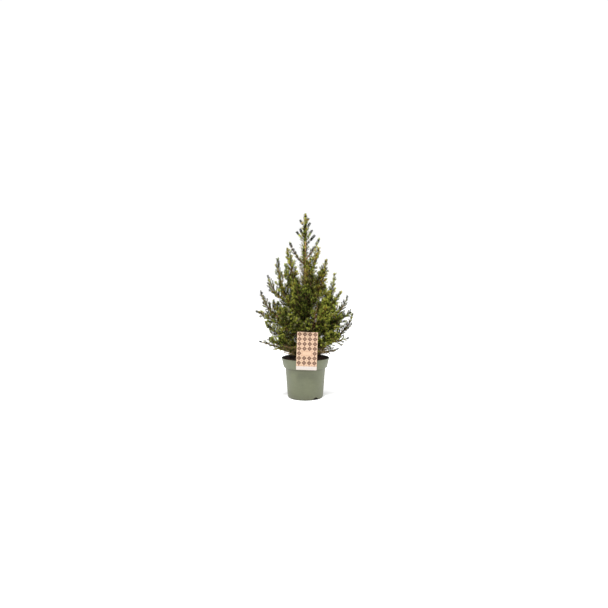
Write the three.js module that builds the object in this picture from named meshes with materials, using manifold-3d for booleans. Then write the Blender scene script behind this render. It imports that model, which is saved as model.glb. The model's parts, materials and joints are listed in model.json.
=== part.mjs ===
// A young dwarf spruce in its nursery pot: a straight leader over a broad cone of upswept boughs,
// each bough ending in a plume of needled shoots. Millimetres, +Z up. The origin is the middle of the
// pot's flat underside, +X is the plant's right and -Y its front.
import * as THREE from "three";
import { mergeVertices } from "three/addons/utils/BufferGeometryUtils.js";
import Module from "manifold-3d";

const wasm = await Module();
wasm.setup();

// Driving dimensions
const TOTAL_HEIGHT = 650;
const GAP = 0.3;

const POT = {
  height: 142,
  lipRadius: 85,
  lipWall: 2.6,
  bandFoot: 109,
  bandFootRadius: 77.5,
  bodyTopRadius: 71.5,
  bodyFootRadius: 63,
  heelHeight: 9,
  footRadius: 57,
  wall: 2,
  floor: 3,
  sides: 40,
};

const DRAIN = { count: 3, first: 305, width: 20, height: 7.5, innerRadius: 50, outerRadius: 70 };

const SOIL = { top: 143, edge: 136.5, heapedTo: 0.44, roughness: 1.6, flatRadius: 14 };

const LABEL = {
  width: 70,
  height: 129,
  thickness: 0.8,
  foot: 112,
  shift: 5,
  tilt: 2,
  tongueWidth: 26,
  tongueTop: 196,
};

const TRUNK = {
  footRadius: 7.6,
  flareRadius: 11.5,
  flareHeight: 16,
  tipHeight: 612,
  tipRadius: 1.1,
  sway: 2.2,
  sides: 8,
  rings: 16,
};

// The limbs. Each is given by its azimuth from +X in degrees, the height where it leaves the trunk, how
// far its tip stands out from the axis, the height of its tip, and the length of its longest side shoots.
// A limb bends once: bend and rise say how much of its reach and of its climb it has made there, and swing
// turns the bend away from the tip's azimuth. The boughs are bare wood near the trunk.
const BOUGHS = {
  low_left: { azimuth: 178, from: 151, reach: 160, tip: 196, shoot: 24, bend: 0.5, rise: 0.5 },
  low_right: { azimuth: 2, from: 168, reach: 151, tip: 208, shoot: 26, bend: 0.45, rise: 0.6 },
  low_front_left: { azimuth: 216, from: 160, reach: 148, tip: 220, shoot: 38 },
  low_front_right: { azimuth: 322, from: 174, reach: 140, tip: 232, shoot: 42 },
  low_back_left: { azimuth: 148, from: 166, reach: 172, tip: 256, shoot: 36, bend: 0.65, rise: 0.35 },
  low_back: { azimuth: 84, from: 156, reach: 158, tip: 224, shoot: 40 },
  low_front: { azimuth: 276, from: 204, reach: 106, tip: 284, shoot: 34 },
  mid_left: { azimuth: 183, from: 198, reach: 172, tip: 305, shoot: 36, bend: 0.5, rise: 0.58 },
  mid_right: { azimuth: 356, from: 208, reach: 158, tip: 301, shoot: 38, bend: 0.5, rise: 0.45 },
  mid_front_left: { azimuth: 236, from: 218, reach: 140, tip: 322, shoot: 44 },
  mid_front_right: { azimuth: 308, from: 226, reach: 140, tip: 330, shoot: 44 },
  mid_back_right: { azimuth: 50, from: 194, reach: 158, tip: 306, shoot: 44 },
  mid_back: { azimuth: 102, from: 212, reach: 160, tip: 322, shoot: 44 },
  mid_back_left: { azimuth: 138, from: 230, reach: 158, tip: 332, shoot: 44 },
  high_left: { azimuth: 177, from: 290, reach: 97, tip: 490, shoot: 34, bend: 0.95, rise: 0.15 },
  high_front_left: { azimuth: 226, from: 302, reach: 88, tip: 522, shoot: 30, bend: 0.62, rise: 0.4 },
  high_front_right: { azimuth: 306, from: 328, reach: 76, tip: 520, shoot: 32, bend: 0.5, swing: -38 },
  high_right: { azimuth: 342, from: 304, reach: 76, tip: 482, shoot: 34, bend: 0.7, rise: 0.3 },
  high_back: { azimuth: 84, from: 314, reach: 80, tip: 478, shoot: 36, bend: 0.7, rise: 0.3 },
};

// Lesser limbs that carry needles all the way from the trunk.
const SHOOTS = {
  low_back_right: { azimuth: 20, from: 150, reach: 122, tip: 164, shoot: 24, bend: 0.6, rise: 0.1 },
  spire_left: { azimuth: 188, from: 242, reach: 156, tip: 372, shoot: 24, bend: 0.8, rise: 0.2 },
  spire_far_left: { azimuth: 168, from: 316, reach: 137, tip: 428, shoot: 18, bend: 0.85, rise: 0.2 },
  spire_right: { azimuth: 14, from: 246, reach: 155, tip: 353, shoot: 20, bend: 0.8, rise: 0.2 },
  spire_low_right: { azimuth: 12, from: 186, reach: 174, tip: 292, shoot: 20, bend: 0.85, rise: 0.05 },
  spire_upper_right: { azimuth: 10, from: 284, reach: 104, tip: 438, shoot: 28, bend: 0.9, rise: 0.15 },
  spire_front_right: { azimuth: 334, from: 266, reach: 135, tip: 374, shoot: 32 },
  spire_front: { azimuth: 248, from: 274, reach: 92, tip: 418, shoot: 34 },
  inner_front: { azimuth: 290, from: 288, reach: 62, tip: 430, shoot: 34 },
  high_front: { azimuth: 270, from: 256, reach: 100, tip: 386, shoot: 42 },
  high_back_left: { azimuth: 139, from: 330, reach: 92, tip: 462, shoot: 34, bend: 0.75, rise: 0.25 },
  spire_back: { azimuth: 112, from: 282, reach: 100, tip: 414, shoot: 34 },
  high_back_right: { azimuth: 42, from: 334, reach: 80, tip: 452, shoot: 32 },
  top_left: { azimuth: 176, from: 468, reach: 53, tip: 541, shoot: 15 },
  top_right: { azimuth: 352, from: 486, reach: 46, tip: 554, shoot: 15 },
  top_back: { azimuth: 90, from: 476, reach: 44, tip: 545, shoot: 16 },
  top_front: { azimuth: 262, from: 462, reach: 34, tip: 520, shoot: 15 },
};

// The leader's needled sleeve with its short shoots, and the longer shoots that stand out of it.
const LEADER = {
  from: 506,
  sleeveAboveTrunk: 12,
  sleeveRadius: 5,
  tipSleeveRadius: 2.2,
  sleeveSides: 6,
  sleeveRings: 4,
  shoots: 15,
  shootLength: 20,
  spread: 35,
  wander: 10,
  root: 0.8,
  tipNeedle: 11.2,
  longNeedle: 8.4,
  shortNeedle: 7,
};
const LEADER_SHOOTS = {
  left: { azimuth: 182, from: 548, reach: 30, tip: 578 },
  right: { azimuth: 4, from: 552, reach: 22, tip: 583 },
  back_right: { azimuth: 34, from: 536, reach: 38, tip: 566 },
  back_left: { azimuth: 132, from: 556, reach: 27, tip: 589 },
  front: { azimuth: 262, from: 560, reach: 25, tip: 592 },
  crown_left: { azimuth: 190, from: 597, reach: 18, tip: 619 },
  crown_right: { azimuth: 350, from: 588, reach: 16, tip: 610 },
  crown_back: { azimuth: 80, from: 600, reach: 15, tip: 622 },
  crest_right: { azimuth: 15, from: 612, reach: 11, tip: 627 },
};

const LIMB = {
  bare: 0.24, // share of a bough's run that is bare wood
  rise: 0.34,
  bend: 0.6,
  radiusPerRun: 0.02,
  thickest: 2.2, // least radius at the trunk
  thinnest: 1.1, // radius at the tip
  sides: 5,
  rings: 3,
  samples: 32,
};

// A spray is a slim three-sided core with needles on it, in bands. Its collar and its point have none.
const SPRAY = {
  core: 3.4,
  taper: 0.45,
  needle: 14,
  needleTaper: 0.3,
  needleTries: [1, 0.7],
  lean: 42, // degrees between a needle and the core
  band: 15,
  collar: 5,
  point: 8,
  rootShare: 0.38,
};
const STEM = { core: 4, needle: 17, needlePerShoot: 0.6, band: 18, rootShare: 0.95, clearOfTrunk: 12 };

const PLUME = {
  firstOnBough: 0.04, // share of the run from the bare wood to the first side shoot
  firstOnShoot: 18, // mm from the trunk's axis to the first side shoot of a lesser limb
  last: 0.4, // the last side shoot stands this share of the longest one's length before the tip
  pitch: 25, // mm of stem from one side shoot to the next
  turn: 137.5, // degrees round the stem from one to the next
  spread: 44, // degrees between the stem and a side shoot
  wander: 12,
  upwards: 0.25,
  fade: 2.4,
  leastFade: 0.5,
  needleShare: 0.45,
  shortest: 14,
  clearance: 1.2,
  lengthTries: [1, 0.8, 0.62, 0.48],
  testedAt: [0.6, 0.8, 1],
};

// How far foliage keeps from the soil, the pot's lip and the label.
const CLEAR = { soil: 4, lip: 4, insideLip: 9, outsideLip: 6, labelEdge: 5, behindLabel: 8 };

const RIGHT = new THREE.Vector3(1, 0, 0);
const UP = new THREE.Vector3(0, 0, 1);
const radians = THREE.MathUtils.degToRad;

const material = (color, roughness) => new THREE.MeshStandardMaterial({ color, roughness, metalness: 0 });
const MATERIALS = {
  pot: material(0x8a9478, 0.55),
  soil: material(0x2c1e15, 1),
  bark: material(0x6b4a2c, 0.9),
  foliage: material(0x5d6b2e, 0.8),
  label: material(0xeec4a0, 0.6),
};

const plant = new THREE.Group();
plant.name = "potted_dwarf_spruce";

function add(name, geometry, finish) {
  const mesh = new THREE.Mesh(geometry, finish);
  mesh.name = name;
  plant.add(mesh);
  return mesh;
}

// The same numbers in the same order for the same seed.
function seeded(seed) {
  let state = seed >>> 0;
  return () => {
    state = (state + 0x6d2b79f5) >>> 0;
    let t = state;
    t = Math.imul(t ^ (t >>> 15), t | 1);
    t ^= t + Math.imul(t ^ (t >>> 7), t | 61);
    return ((t ^ (t >>> 14)) >>> 0) / 2 ** 32;
  };
}

// A size up to 15 in a hundred more or less.
function varied(size, random) {
  return size * (0.85 + 0.3 * random());
}

// A closed geometry as a solid that can be joined and cut.
function solidOf(geometry) {
  const bare = new THREE.BufferGeometry().setAttribute("position", geometry.getAttribute("position"));
  bare.setIndex(geometry.getIndex());
  const merged = mergeVertices(bare, 1e-4);
  return new wasm.Manifold(
    new wasm.Mesh({
      numProp: 3,
      vertProperties: merged.attributes.position.array,
      triVerts: new Uint32Array(merged.index.array),
    }),
  );
}

function geometryOf(solid) {
  const mesh = solid.getMesh();
  return new THREE.BufferGeometry()
    .setAttribute("position", new THREE.BufferAttribute(mesh.vertProperties, 3))
    .setIndex(new THREE.BufferAttribute(mesh.triVerts, 1));
}

// The largest of the bodies that a cut has left.
function largest(solid) {
  return solid.decompose().reduce((best, body) => (body.volume() > best.volume() ? body : best));
}

// The direction of a path at a share of its run, and two more at right angles to it. The first of these
// is as near to the hint as it can be.
function frameAt(pathAt, share, hint) {
  const step = 0.01;
  const along = pathAt(Math.min(1, share + step)).sub(pathAt(Math.max(0, share - step))).normalize();
  const across = hint.clone().addScaledVector(along, -along.dot(hint)).normalize();
  return { along, across, outward: new THREE.Vector3().crossVectors(along, across) };
}

function sideOf({ across, outward }, angle) {
  return across.clone().multiplyScalar(Math.cos(angle)).addScaledVector(outward, Math.sin(angle));
}

// A closed cylinder bent along a path, as thick at each share of its run as radiusAt says.
function limb(pathAt, radiusAt, sides, rings, hint) {
  const tube = new THREE.CylinderGeometry(1, 1, 1, sides, rings);
  const position = tube.attributes.position;
  for (let i = 0; i < position.count; i++) {
    const share = THREE.MathUtils.clamp(position.getY(i) + 0.5, 0, 1);
    const { across, outward } = frameAt(pathAt, share, hint);
    const radius = radiusAt(share);
    const at = pathAt(share);
    at.addScaledVector(outward, position.getX(i) * radius);
    at.addScaledVector(across, position.getZ(i) * radius);
    position.setXYZ(i, at.x, at.y, at.z);
  }
  return tube;
}

// A LatheGeometry about +Z from [radius, height] pairs.
function turned(profile, sides) {
  const points = profile.map(([radius, height]) => new THREE.Vector2(radius, height));
  return new THREE.LatheGeometry(points, sides).rotateX(Math.PI / 2);
}

// The pot: a thin tapering wall, a wider band under its lip, and a flat underside
function bandRadiusAt(height) {
  const share = (height - POT.bandFoot) / (POT.height - POT.bandFoot);
  return THREE.MathUtils.lerp(POT.bandFootRadius, POT.lipRadius, share);
}

function bodyRadiusAt(height) {
  const share = (height - POT.heelHeight) / (POT.bandFoot - POT.heelHeight);
  return THREE.MathUtils.lerp(POT.bodyFootRadius, POT.bodyTopRadius, share);
}

function potSolid() {
  const edge = 0.9; // how much is taken off the band's two corners
  const ledge = POT.bandFoot + POT.wall;
  const profile = [
    [0, 0],
    [POT.footRadius, 0],
    [THREE.MathUtils.lerp(POT.footRadius, POT.bodyFootRadius, 0.72), POT.heelHeight * 0.33],
    [POT.bodyFootRadius, POT.heelHeight],
    [bodyRadiusAt(POT.bandFoot), POT.bandFoot],
    [POT.bandFootRadius - edge, POT.bandFoot],
    [bandRadiusAt(POT.bandFoot + edge), POT.bandFoot + edge],
    [bandRadiusAt(POT.height - edge), POT.height - edge],
    [POT.lipRadius - edge, POT.height],
    [POT.lipRadius - POT.lipWall, POT.height],
    [bandRadiusAt(ledge) - POT.wall, ledge],
    [bodyRadiusAt(POT.bandFoot) - POT.wall, ledge],
    [bodyRadiusAt(POT.heelHeight) - POT.wall, POT.heelHeight],
    [POT.footRadius - POT.wall, POT.floor],
    [0, POT.floor],
  ];
  let pot = solidOf(turned(profile, POT.sides));
  for (let i = 0; i < DRAIN.count; i++) {
    pot = pot.subtract(drainSolid(DRAIN.first + (i * 360) / DRAIN.count));
  }
  return pot;
}

// An arched notch through the heel of the pot, where water drains.
function drainSolid(azimuth) {
  const half = DRAIN.width / 2;
  const arch = new THREE.Shape();
  arch.moveTo(-half, -1);
  arch.lineTo(half, -1);
  arch.lineTo(half, DRAIN.height * 0.4);
  arch.quadraticCurveTo(half, DRAIN.height, 0, DRAIN.height);
  arch.quadraticCurveTo(-half, DRAIN.height, -half, DRAIN.height * 0.4);
  const depth = DRAIN.outerRadius - DRAIN.innerRadius;
  const notch = new THREE.ExtrudeGeometry(arch, { depth, bevelEnabled: false, curveSegments: 4 });
  notch.rotateX(Math.PI / 2).rotateZ(Math.PI / 2).translate(DRAIN.innerRadius, 0, 0);
  return solidOf(notch.rotateZ(radians(azimuth)));
}

// The potting soil that fills the pot, heaped and rough on top and flat under the trunk
function soilSolid() {
  const clear = POT.wall + GAP * 2;
  const ledge = POT.bandFoot + POT.wall + GAP;
  const edgeRadius = bandRadiusAt(SOIL.edge) - clear;
  const rings = [0.93, 0.8, 0.62, SOIL.heapedTo, SOIL.flatRadius / edgeRadius, 0];
  const heapAt = (share) => {
    const climbed = Math.min(1, (1 - share) / (1 - SOIL.heapedTo));
    return THREE.MathUtils.lerp(SOIL.edge, SOIL.top, 1 - (1 - climbed) ** 2);
  };
  const profile = [
    [0, POT.floor + GAP],
    [POT.footRadius - clear, POT.floor + GAP],
    [bodyRadiusAt(POT.heelHeight + 1) - clear, POT.heelHeight + 1],
    [bodyRadiusAt(POT.bandFoot) - clear, ledge],
    [bandRadiusAt(ledge) - clear, ledge],
    [edgeRadius, SOIL.edge],
    ...rings.map((share) => [share * edgeRadius, heapAt(share)]),
  ];
  const soil = turned(profile, POT.sides / 2);
  const position = soil.attributes.position;
  for (let i = 0; i < position.count; i++) {
    const radius = Math.hypot(position.getX(i), position.getY(i));
    if (position.getZ(i) <= SOIL.edge || radius < SOIL.flatRadius + 1) continue;
    const angle = Math.atan2(position.getY(i), position.getX(i));
    const waves = Math.sin(3 * angle + radius * 0.09) + 0.6 * Math.sin(7 * angle - radius * 0.23);
    position.setZ(i, position.getZ(i) + (waves - 0.6) * SOIL.roughness * 0.6);
  }
  return solidOf(soil);
}

// The card label: a flat card in front of the lip, held by a tongue that reaches over it to the soil
function labelSolid() {
  const t = LABEL.thickness;
  const back = -(POT.lipRadius + GAP);
  const card = new THREE.BoxGeometry(LABEL.width, t, LABEL.height);
  card.translate(0, back - t / 2, LABEL.foot + LABEL.height / 2);
  // The tongue leaves the card's back, crosses the lip and runs down just inside the wall, to the soil.
  const glued = 12;
  const crossing = POT.height + 4;
  const inside = 1 + POT.lipWall - POT.lipRadius;
  const heapAtWall = 2.2;
  const toe = SOIL.edge + heapAtWall;
  const slant = (POT.height - toe) * 0.24 + 1.2;
  const tongue = new THREE.Shape();
  tongue.moveTo(back - t / 2, LABEL.tongueTop);
  tongue.lineTo(back - t / 2, LABEL.tongueTop - glued);
  tongue.lineTo(back + 0.01, LABEL.tongueTop - glued - 2);
  tongue.lineTo(inside, crossing);
  tongue.lineTo(inside + slant, toe);
  tongue.lineTo(inside + slant + t, toe);
  tongue.lineTo(inside + t, crossing);
  tongue.lineTo(back + t, LABEL.tongueTop - glued);
  tongue.lineTo(back + t, LABEL.tongueTop);
  const strip = new THREE.ExtrudeGeometry(tongue, { depth: LABEL.tongueWidth, bevelEnabled: false });
  // The outline is drawn as (depth, height), and extruding it gives the width.
  strip.translate(0, 0, -LABEL.tongueWidth / 2);
  strip.applyMatrix4(new THREE.Matrix4().set(0, 0, 1, 0, 1, 0, 0, 0, 0, 1, 0, 0, 0, 0, 0, 1));
  const joined = solidOf(card).add(solidOf(strip));
  return joined.translate([LABEL.shift, 0, 0]);
}

// The trunk: its line sways a little, and its foot flares
function trunkAxis(height) {
  const share = (height - SOIL.top) / (TRUNK.tipHeight - SOIL.top);
  const fade = Math.sin(Math.PI * THREE.MathUtils.clamp(share, 0, 1));
  return new THREE.Vector3(
    TRUNK.sway * fade * Math.sin(share * 7),
    TRUNK.sway * fade * Math.cos(share * 5),
    height,
  );
}

function trunkRadius(height) {
  const aboveSoil = height - SOIL.top;
  const share = THREE.MathUtils.clamp(aboveSoil / (TRUNK.tipHeight - SOIL.top), 0, 1);
  const taper = THREE.MathUtils.lerp(TRUNK.footRadius, TRUNK.tipRadius, share);
  const flare = (TRUNK.flareRadius - TRUNK.footRadius) * Math.exp(-aboveSoil / (TRUNK.flareHeight / 2));
  return taper + flare;
}

function trunkSolid(extra) {
  const foot = SOIL.top + GAP;
  const heightAt = (share) => THREE.MathUtils.lerp(foot, TRUNK.tipHeight, share ** 1.25);
  const path = (share) => trunkAxis(heightAt(share));
  const radius = (share) => trunkRadius(heightAt(share)) + extra;
  const geometry = limb(path, radius, TRUNK.sides, TRUNK.rings, RIGHT);
  const position = geometry.attributes.position;
  for (let i = 0; i < position.count; i++)
    if (position.getZ(i) < foot + 1) position.setZ(i, foot - extra * 2);
  return solidOf(geometry);
}

function outwards(azimuth) {
  return new THREE.Vector3(Math.cos(radians(azimuth)), Math.sin(radians(azimuth)), 0);
}

// The line of a limb from the trunk's axis to its tip
function limbPath({ azimuth, from, reach, tip, bend = LIMB.bend, rise = LIMB.rise, swing = 0 }) {
  const start = trunkAxis(from);
  const knee = start.clone().addScaledVector(outwards(azimuth + swing), reach * bend);
  knee.z = THREE.MathUtils.lerp(from, tip, rise);
  const end = outwards(azimuth).multiplyScalar(reach).setZ(tip);
  const curve = new THREE.QuadraticBezierCurve3(start, knee, end);
  return (share) => curve.getPoint(share);
}

function runOf({ reach, tip, from }) {
  return Math.hypot(reach, tip - from);
}

function limbRadius(plan, share) {
  const thick = Math.max(LIMB.thickest, runOf(plan) * LIMB.radiusPerRun);
  return THREE.MathUtils.lerp(thick, LIMB.thinnest, share ** 0.8);
}

function limbOf(name, plan, path, hint, seed) {
  const samples = Array.from({ length: LIMB.samples + 1 }, (_, i) => path(i / LIMB.samples));
  return { name, plan, path, hint, samples, seed, around: new THREE.Sphere().setFromPoints(samples) };
}

const limbs = Object.entries({ ...BOUGHS, ...SHOOTS }).map(([name, plan], i) =>
  limbOf(name, plan, limbPath(plan), outwards(plan.azimuth + 90), i + 1),
);
const leaderPath = (share) => trunkAxis(THREE.MathUtils.lerp(LEADER.from, TOTAL_HEIGHT, share));
const leader = limbOf("leader", {}, leaderPath, RIGHT, limbs.length + 1);
limbs.push(leader);

// How near a point comes to a limb's line.
const nearest = { segment: new THREE.Line3(), on: new THREE.Vector3() };
function distanceTo({ samples }, point) {
  let least = Infinity;
  for (let i = 1; i < samples.length; i++) {
    nearest.segment.set(samples[i - 1], samples[i]);
    nearest.segment.closestPointToPoint(point, true, nearest.on);
    least = Math.min(least, nearest.on.distanceTo(point));
  }
  return least;
}

function offTrunk(point) {
  if (point.z > TRUNK.tipHeight + TRUNK.tipRadius) return Infinity;
  return point.distanceTo(trunkAxis(point.z)) - trunkRadius(point.z);
}

// Whether a point is clear of the soil, the pot's lip and the label.
function offPot(point) {
  const radius = Math.hypot(point.x, point.y);
  const overLip = radius > POT.lipRadius - CLEAR.insideLip && radius < POT.lipRadius + CLEAR.outsideLip;
  const besideLabel = Math.abs(point.x - LABEL.shift) > LABEL.width / 2 + CLEAR.labelEdge;
  if (!besideLabel && point.y < CLEAR.behindLabel - POT.lipRadius)
    return point.z > LABEL.foot + LABEL.height + CLEAR.labelEdge;
  return point.z > (overLip ? POT.height + CLEAR.lip : SOIL.top + CLEAR.soil);
}

// Whether a limb may have foliage at a point: off the pot and the trunk, and nearer to the limb's own
// line than to any other.
function isClearFor(own, point) {
  if (!offPot(point) || offTrunk(point) < PLUME.clearance) return false;
  const mine = distanceTo(own, point) + PLUME.clearance * 2;
  return limbs.every(
    (other) =>
      other === own || other.around.distanceToPoint(point) > mine || distanceTo(other, point) > mine,
  );
}

// A spray: its core follows a path, and one facet in two of each band rises to a needle that leans
// forwards. A needle whose tip isn't clear is left out.
function spraySolid({ path, length, hint, twist, core, band, needle, rootRadius, isClear }) {
  const needled = length - SPRAY.collar - SPRAY.point;
  const bands = Math.max(1, Math.round(needled / band));
  const shareAt = (ring) => (SPRAY.collar + (needled * (ring - 1)) / bands) / length;
  const corners = [];
  const triangles = [];
  const push = (point) => corners.push(point) - 1;
  const rings = [];
  for (let ring = 0; ring <= bands + 1; ring++) {
    const share = ring === 0 ? 0 : shareAt(ring);
    const radius = ring === 0 ? rootRadius : core * (1 - SPRAY.taper * share);
    const frame = frameAt(path, share, hint);
    rings.push(
      [0, 1, 2].map((side) => {
        const angle = twist + ((side * 2 + (ring % 2)) * Math.PI) / 3;
        return push(path(share).addScaledVector(sideOf(frame, angle), radius));
      }),
    );
  }
  const lean = radians(SPRAY.lean);
  const raise = (facet, share) => {
    const centre = facet.reduce((sum, i) => sum.add(corners[i]), new THREE.Vector3()).divideScalar(3);
    const { along } = frameAt(path, share, hint);
    const out = centre.clone().sub(path(share));
    out.addScaledVector(along, -out.dot(along)).normalize();
    out.multiplyScalar(Math.sin(lean)).addScaledVector(along, Math.cos(lean));
    const reach = needle * (1 - SPRAY.needleTaper * share);
    const tip = SPRAY.needleTries
      .map((trial) => centre.clone().addScaledVector(out, reach * trial))
      .find(isClear);
    if (!tip) {
      triangles.push(facet);
      return;
    }
    const apex = push(tip);
    facet.forEach((corner, i) => triangles.push([corner, facet[(i + 1) % 3], apex]));
  };
  for (let ring = 0; ring <= bands; ring++) {
    const lower = rings[ring];
    const upper = rings[ring + 1];
    // Odd rings start half a step round, so the facets above them lie the other way.
    const odd = ring % 2 === 1;
    for (let side = 0; side < 3; side++) {
      const next = (side + 1) % 3;
      triangles.push([lower[odd ? side : next], upper[next], upper[side]]);
      const facet = [lower[side], lower[next], upper[odd ? next : side]];
      if (ring === 0) triangles.push(facet);
      else raise(facet, shareAt(ring + 0.5));
    }
  }
  const point = push(path(1));
  const last = rings[bands + 1];
  for (let side = 0; side < 3; side++) triangles.push([last[side], last[(side + 1) % 3], point]);
  triangles.push([rings[0][0], rings[0][2], rings[0][1]]);
  const geometry = new THREE.BufferGeometry().setFromPoints(corners);
  return solidOf(geometry.setIndex(triangles.flat()));
}

// A straight spray from a point of a limb, whose needles stay in that limb's space
function shootSolid(own, from, direction, length, needle, hint, twist, rootRadius) {
  return spraySolid({
    path: (share) => from.clone().addScaledVector(direction, length * share),
    length,
    hint,
    twist,
    core: SPRAY.core,
    band: SPRAY.band,
    needle,
    rootRadius,
    isClear: (point) => isClearFor(own, point),
  });
}

// A mass of foliage: the limb's needled stem, with side shoots as long as the limb's own space allows
function foliageSolid(own) {
  const { plan, path, hint } = own;
  const random = seeded(own.seed);
  const run = runOf(plan);
  const isBough = own.name in BOUGHS;
  const first = isBough ? LIMB.bare + GAP / run : 0;
  const stem = spraySolid({
    path: (share) => path(THREE.MathUtils.lerp(first, 1, share)),
    length: run * (1 - first),
    hint,
    twist: random() * 6,
    core: STEM.core,
    band: STEM.band,
    needle: Math.min(STEM.needle, plan.shoot * STEM.needlePerShoot),
    rootRadius: limbRadius(plan, first) * STEM.rootShare,
    isClear: (point) => isClearFor(own, point) && (isBough || offTrunk(point) > STEM.clearOfTrunk),
  });
  const pieces = [stem];
  const firstShoot = isBough ? LIMB.bare + PLUME.firstOnBough : PLUME.firstOnShoot / run;
  const lastShoot = 1 - (PLUME.last * plan.shoot) / run;
  const count = Math.round((run * (lastShoot - firstShoot)) / PLUME.pitch);
  let turn = random() * 360;
  for (let i = 0; i < count; i++) {
    const share = THREE.MathUtils.lerp(firstShoot, lastShoot, (i + 0.5) / count);
    turn += PLUME.turn;
    const frame = frameAt(path, share, hint);
    const spread = radians(PLUME.spread + (random() - 0.5) * PLUME.wander);
    const direction = frame.along.clone().multiplyScalar(Math.cos(spread));
    direction.addScaledVector(sideOf(frame, radians(turn)), Math.sin(spread));
    direction.addScaledVector(UP, PLUME.upwards).normalize();
    const fade = THREE.MathUtils.clamp((1 - share) * PLUME.fade, PLUME.leastFade, 1);
    const wanted = varied(plan.shoot * fade, random);
    const twist = random() * 6;
    const from = path(share);
    const isClearAt = (distance) => isClearFor(own, from.clone().addScaledVector(direction, distance));
    const reaches = (length) => PLUME.testedAt.every((part) => isClearAt(length * part));
    const length = PLUME.lengthTries.map((trial) => trial * wanted).find(reaches) ?? 0;
    if (length < PLUME.shortest) continue;
    const needle = Math.min(SPRAY.needle, length * PLUME.needleShare);
    const rootRadius = limbRadius(plan, share) * SPRAY.rootShare;
    pieces.push(shootSolid(own, from, direction, length, needle, frame.along, twist, rootRadius));
  }
  return largest(wasm.Manifold.union(pieces).subtract(trunkSolid(GAP)));
}

// The leader: a needled sleeve round the trunk's top, cut clear of it, with short shoots all round
function leaderSolid() {
  const random = seeded(leader.seed);
  const sleeveTop = TRUNK.tipHeight + LEADER.sleeveAboveTrunk;
  const heightAt = (share) => THREE.MathUtils.lerp(LEADER.from, sleeveTop, share);
  const sleevePath = (share) => trunkAxis(heightAt(share));
  const sleeveRadius = (share) => THREE.MathUtils.lerp(LEADER.sleeveRadius, LEADER.tipSleeveRadius, share);
  const pieces = [solidOf(limb(sleevePath, sleeveRadius, LEADER.sleeveSides, LEADER.sleeveRings, RIGHT))];
  const tipFrom = trunkAxis(sleeveTop - LEADER.sleeveAboveTrunk / 2);
  const tipLength = TOTAL_HEIGHT - tipFrom.z;
  pieces.push(shootSolid(leader, tipFrom, UP, tipLength, LEADER.tipNeedle, RIGHT, 0, LEADER.root));
  // A shoot is rooted in the sleeve, halfway between the bore and the sleeve's outside.
  const rootAt = (azimuth, height) => {
    const share = (height - LEADER.from) / (sleeveTop - LEADER.from);
    const middle = (trunkRadius(height) + GAP + sleeveRadius(share)) / 2;
    return trunkAxis(height).addScaledVector(outwards(azimuth), middle);
  };
  for (const { azimuth, from, reach, tip } of Object.values(LEADER_SHOOTS)) {
    const start = rootAt(azimuth, from);
    const line = outwards(azimuth).multiplyScalar(reach).setZ(tip).sub(start);
    const length = line.length();
    const direction = line.normalize();
    pieces.push(shootSolid(leader, start, direction, length, LEADER.longNeedle, UP, azimuth, LEADER.root));
  }
  for (let i = 0; i < LEADER.shoots; i++) {
    const share = i / LEADER.shoots;
    const azimuth = i * PLUME.turn;
    const start = rootAt(azimuth, THREE.MathUtils.lerp(LEADER.from + 4, sleeveTop - 10, share));
    const spread = radians(LEADER.spread + (random() - 0.5) * LEADER.wander);
    const direction = outwards(azimuth).multiplyScalar(Math.sin(spread)).setZ(Math.cos(spread));
    const length = varied(LEADER.shootLength * (1 - SPRAY.needleTaper * share), random);
    const twist = random() * 6;
    if (!isClearFor(leader, start.clone().addScaledVector(direction, length))) continue;
    pieces.push(shootSolid(leader, start, direction, length, LEADER.shortNeedle, UP, twist, LEADER.root));
  }
  return largest(wasm.Manifold.union(pieces).subtract(trunkSolid(GAP)));
}

function boughSolid({ plan, path, hint }) {
  const boughPath = (share) => path(share * LIMB.bare);
  const radius = (share) => limbRadius(plan, share * LIMB.bare);
  const whole = solidOf(limb(boughPath, radius, LIMB.sides, LIMB.rings, hint));
  return largest(whole.subtract(trunkSolid(GAP)));
}

add("pot", geometryOf(potSolid()), MATERIALS.pot);
add("soil", geometryOf(soilSolid()), MATERIALS.soil);
const label = add("label", geometryOf(labelSolid()), MATERIALS.label);
const pivot = new THREE.Vector3(LABEL.shift, 0, LABEL.foot + LABEL.height / 2);
label.geometry.translate(-pivot.x, 0, -pivot.z);
label.position.copy(pivot);
label.rotation.y = radians(LABEL.tilt);

add("trunk", geometryOf(trunkSolid(0)), MATERIALS.bark);
for (const own of limbs) {
  if (own.name in BOUGHS) add("bough_" + own.name, geometryOf(boughSolid(own)), MATERIALS.bark);
  const solid = own === leader ? leaderSolid() : foliageSolid(own);
  add("foliage_" + own.name, geometryOf(solid), MATERIALS.foliage);
}

export default plant;
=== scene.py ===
# %% [markdown]
# # A young dwarf spruce in its nursery pot
# A conifer of this age is a straight trunk over a broad cone of upswept boughs. Each bough is a plume:
# a stem, its side shoots, their twigs, and needles all the way round every twig. The construction is
# already settled and is loaded here as a fixed frame, in metres, with the pot's underside at height 0
# and the plant's front towards -Y. This lesson dresses it: pot, soil, label, bark, twigs and needles.

# %% Load the frame
import json
import math

import bpy
import numpy as np
from mathutils import Matrix, Vector

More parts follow.
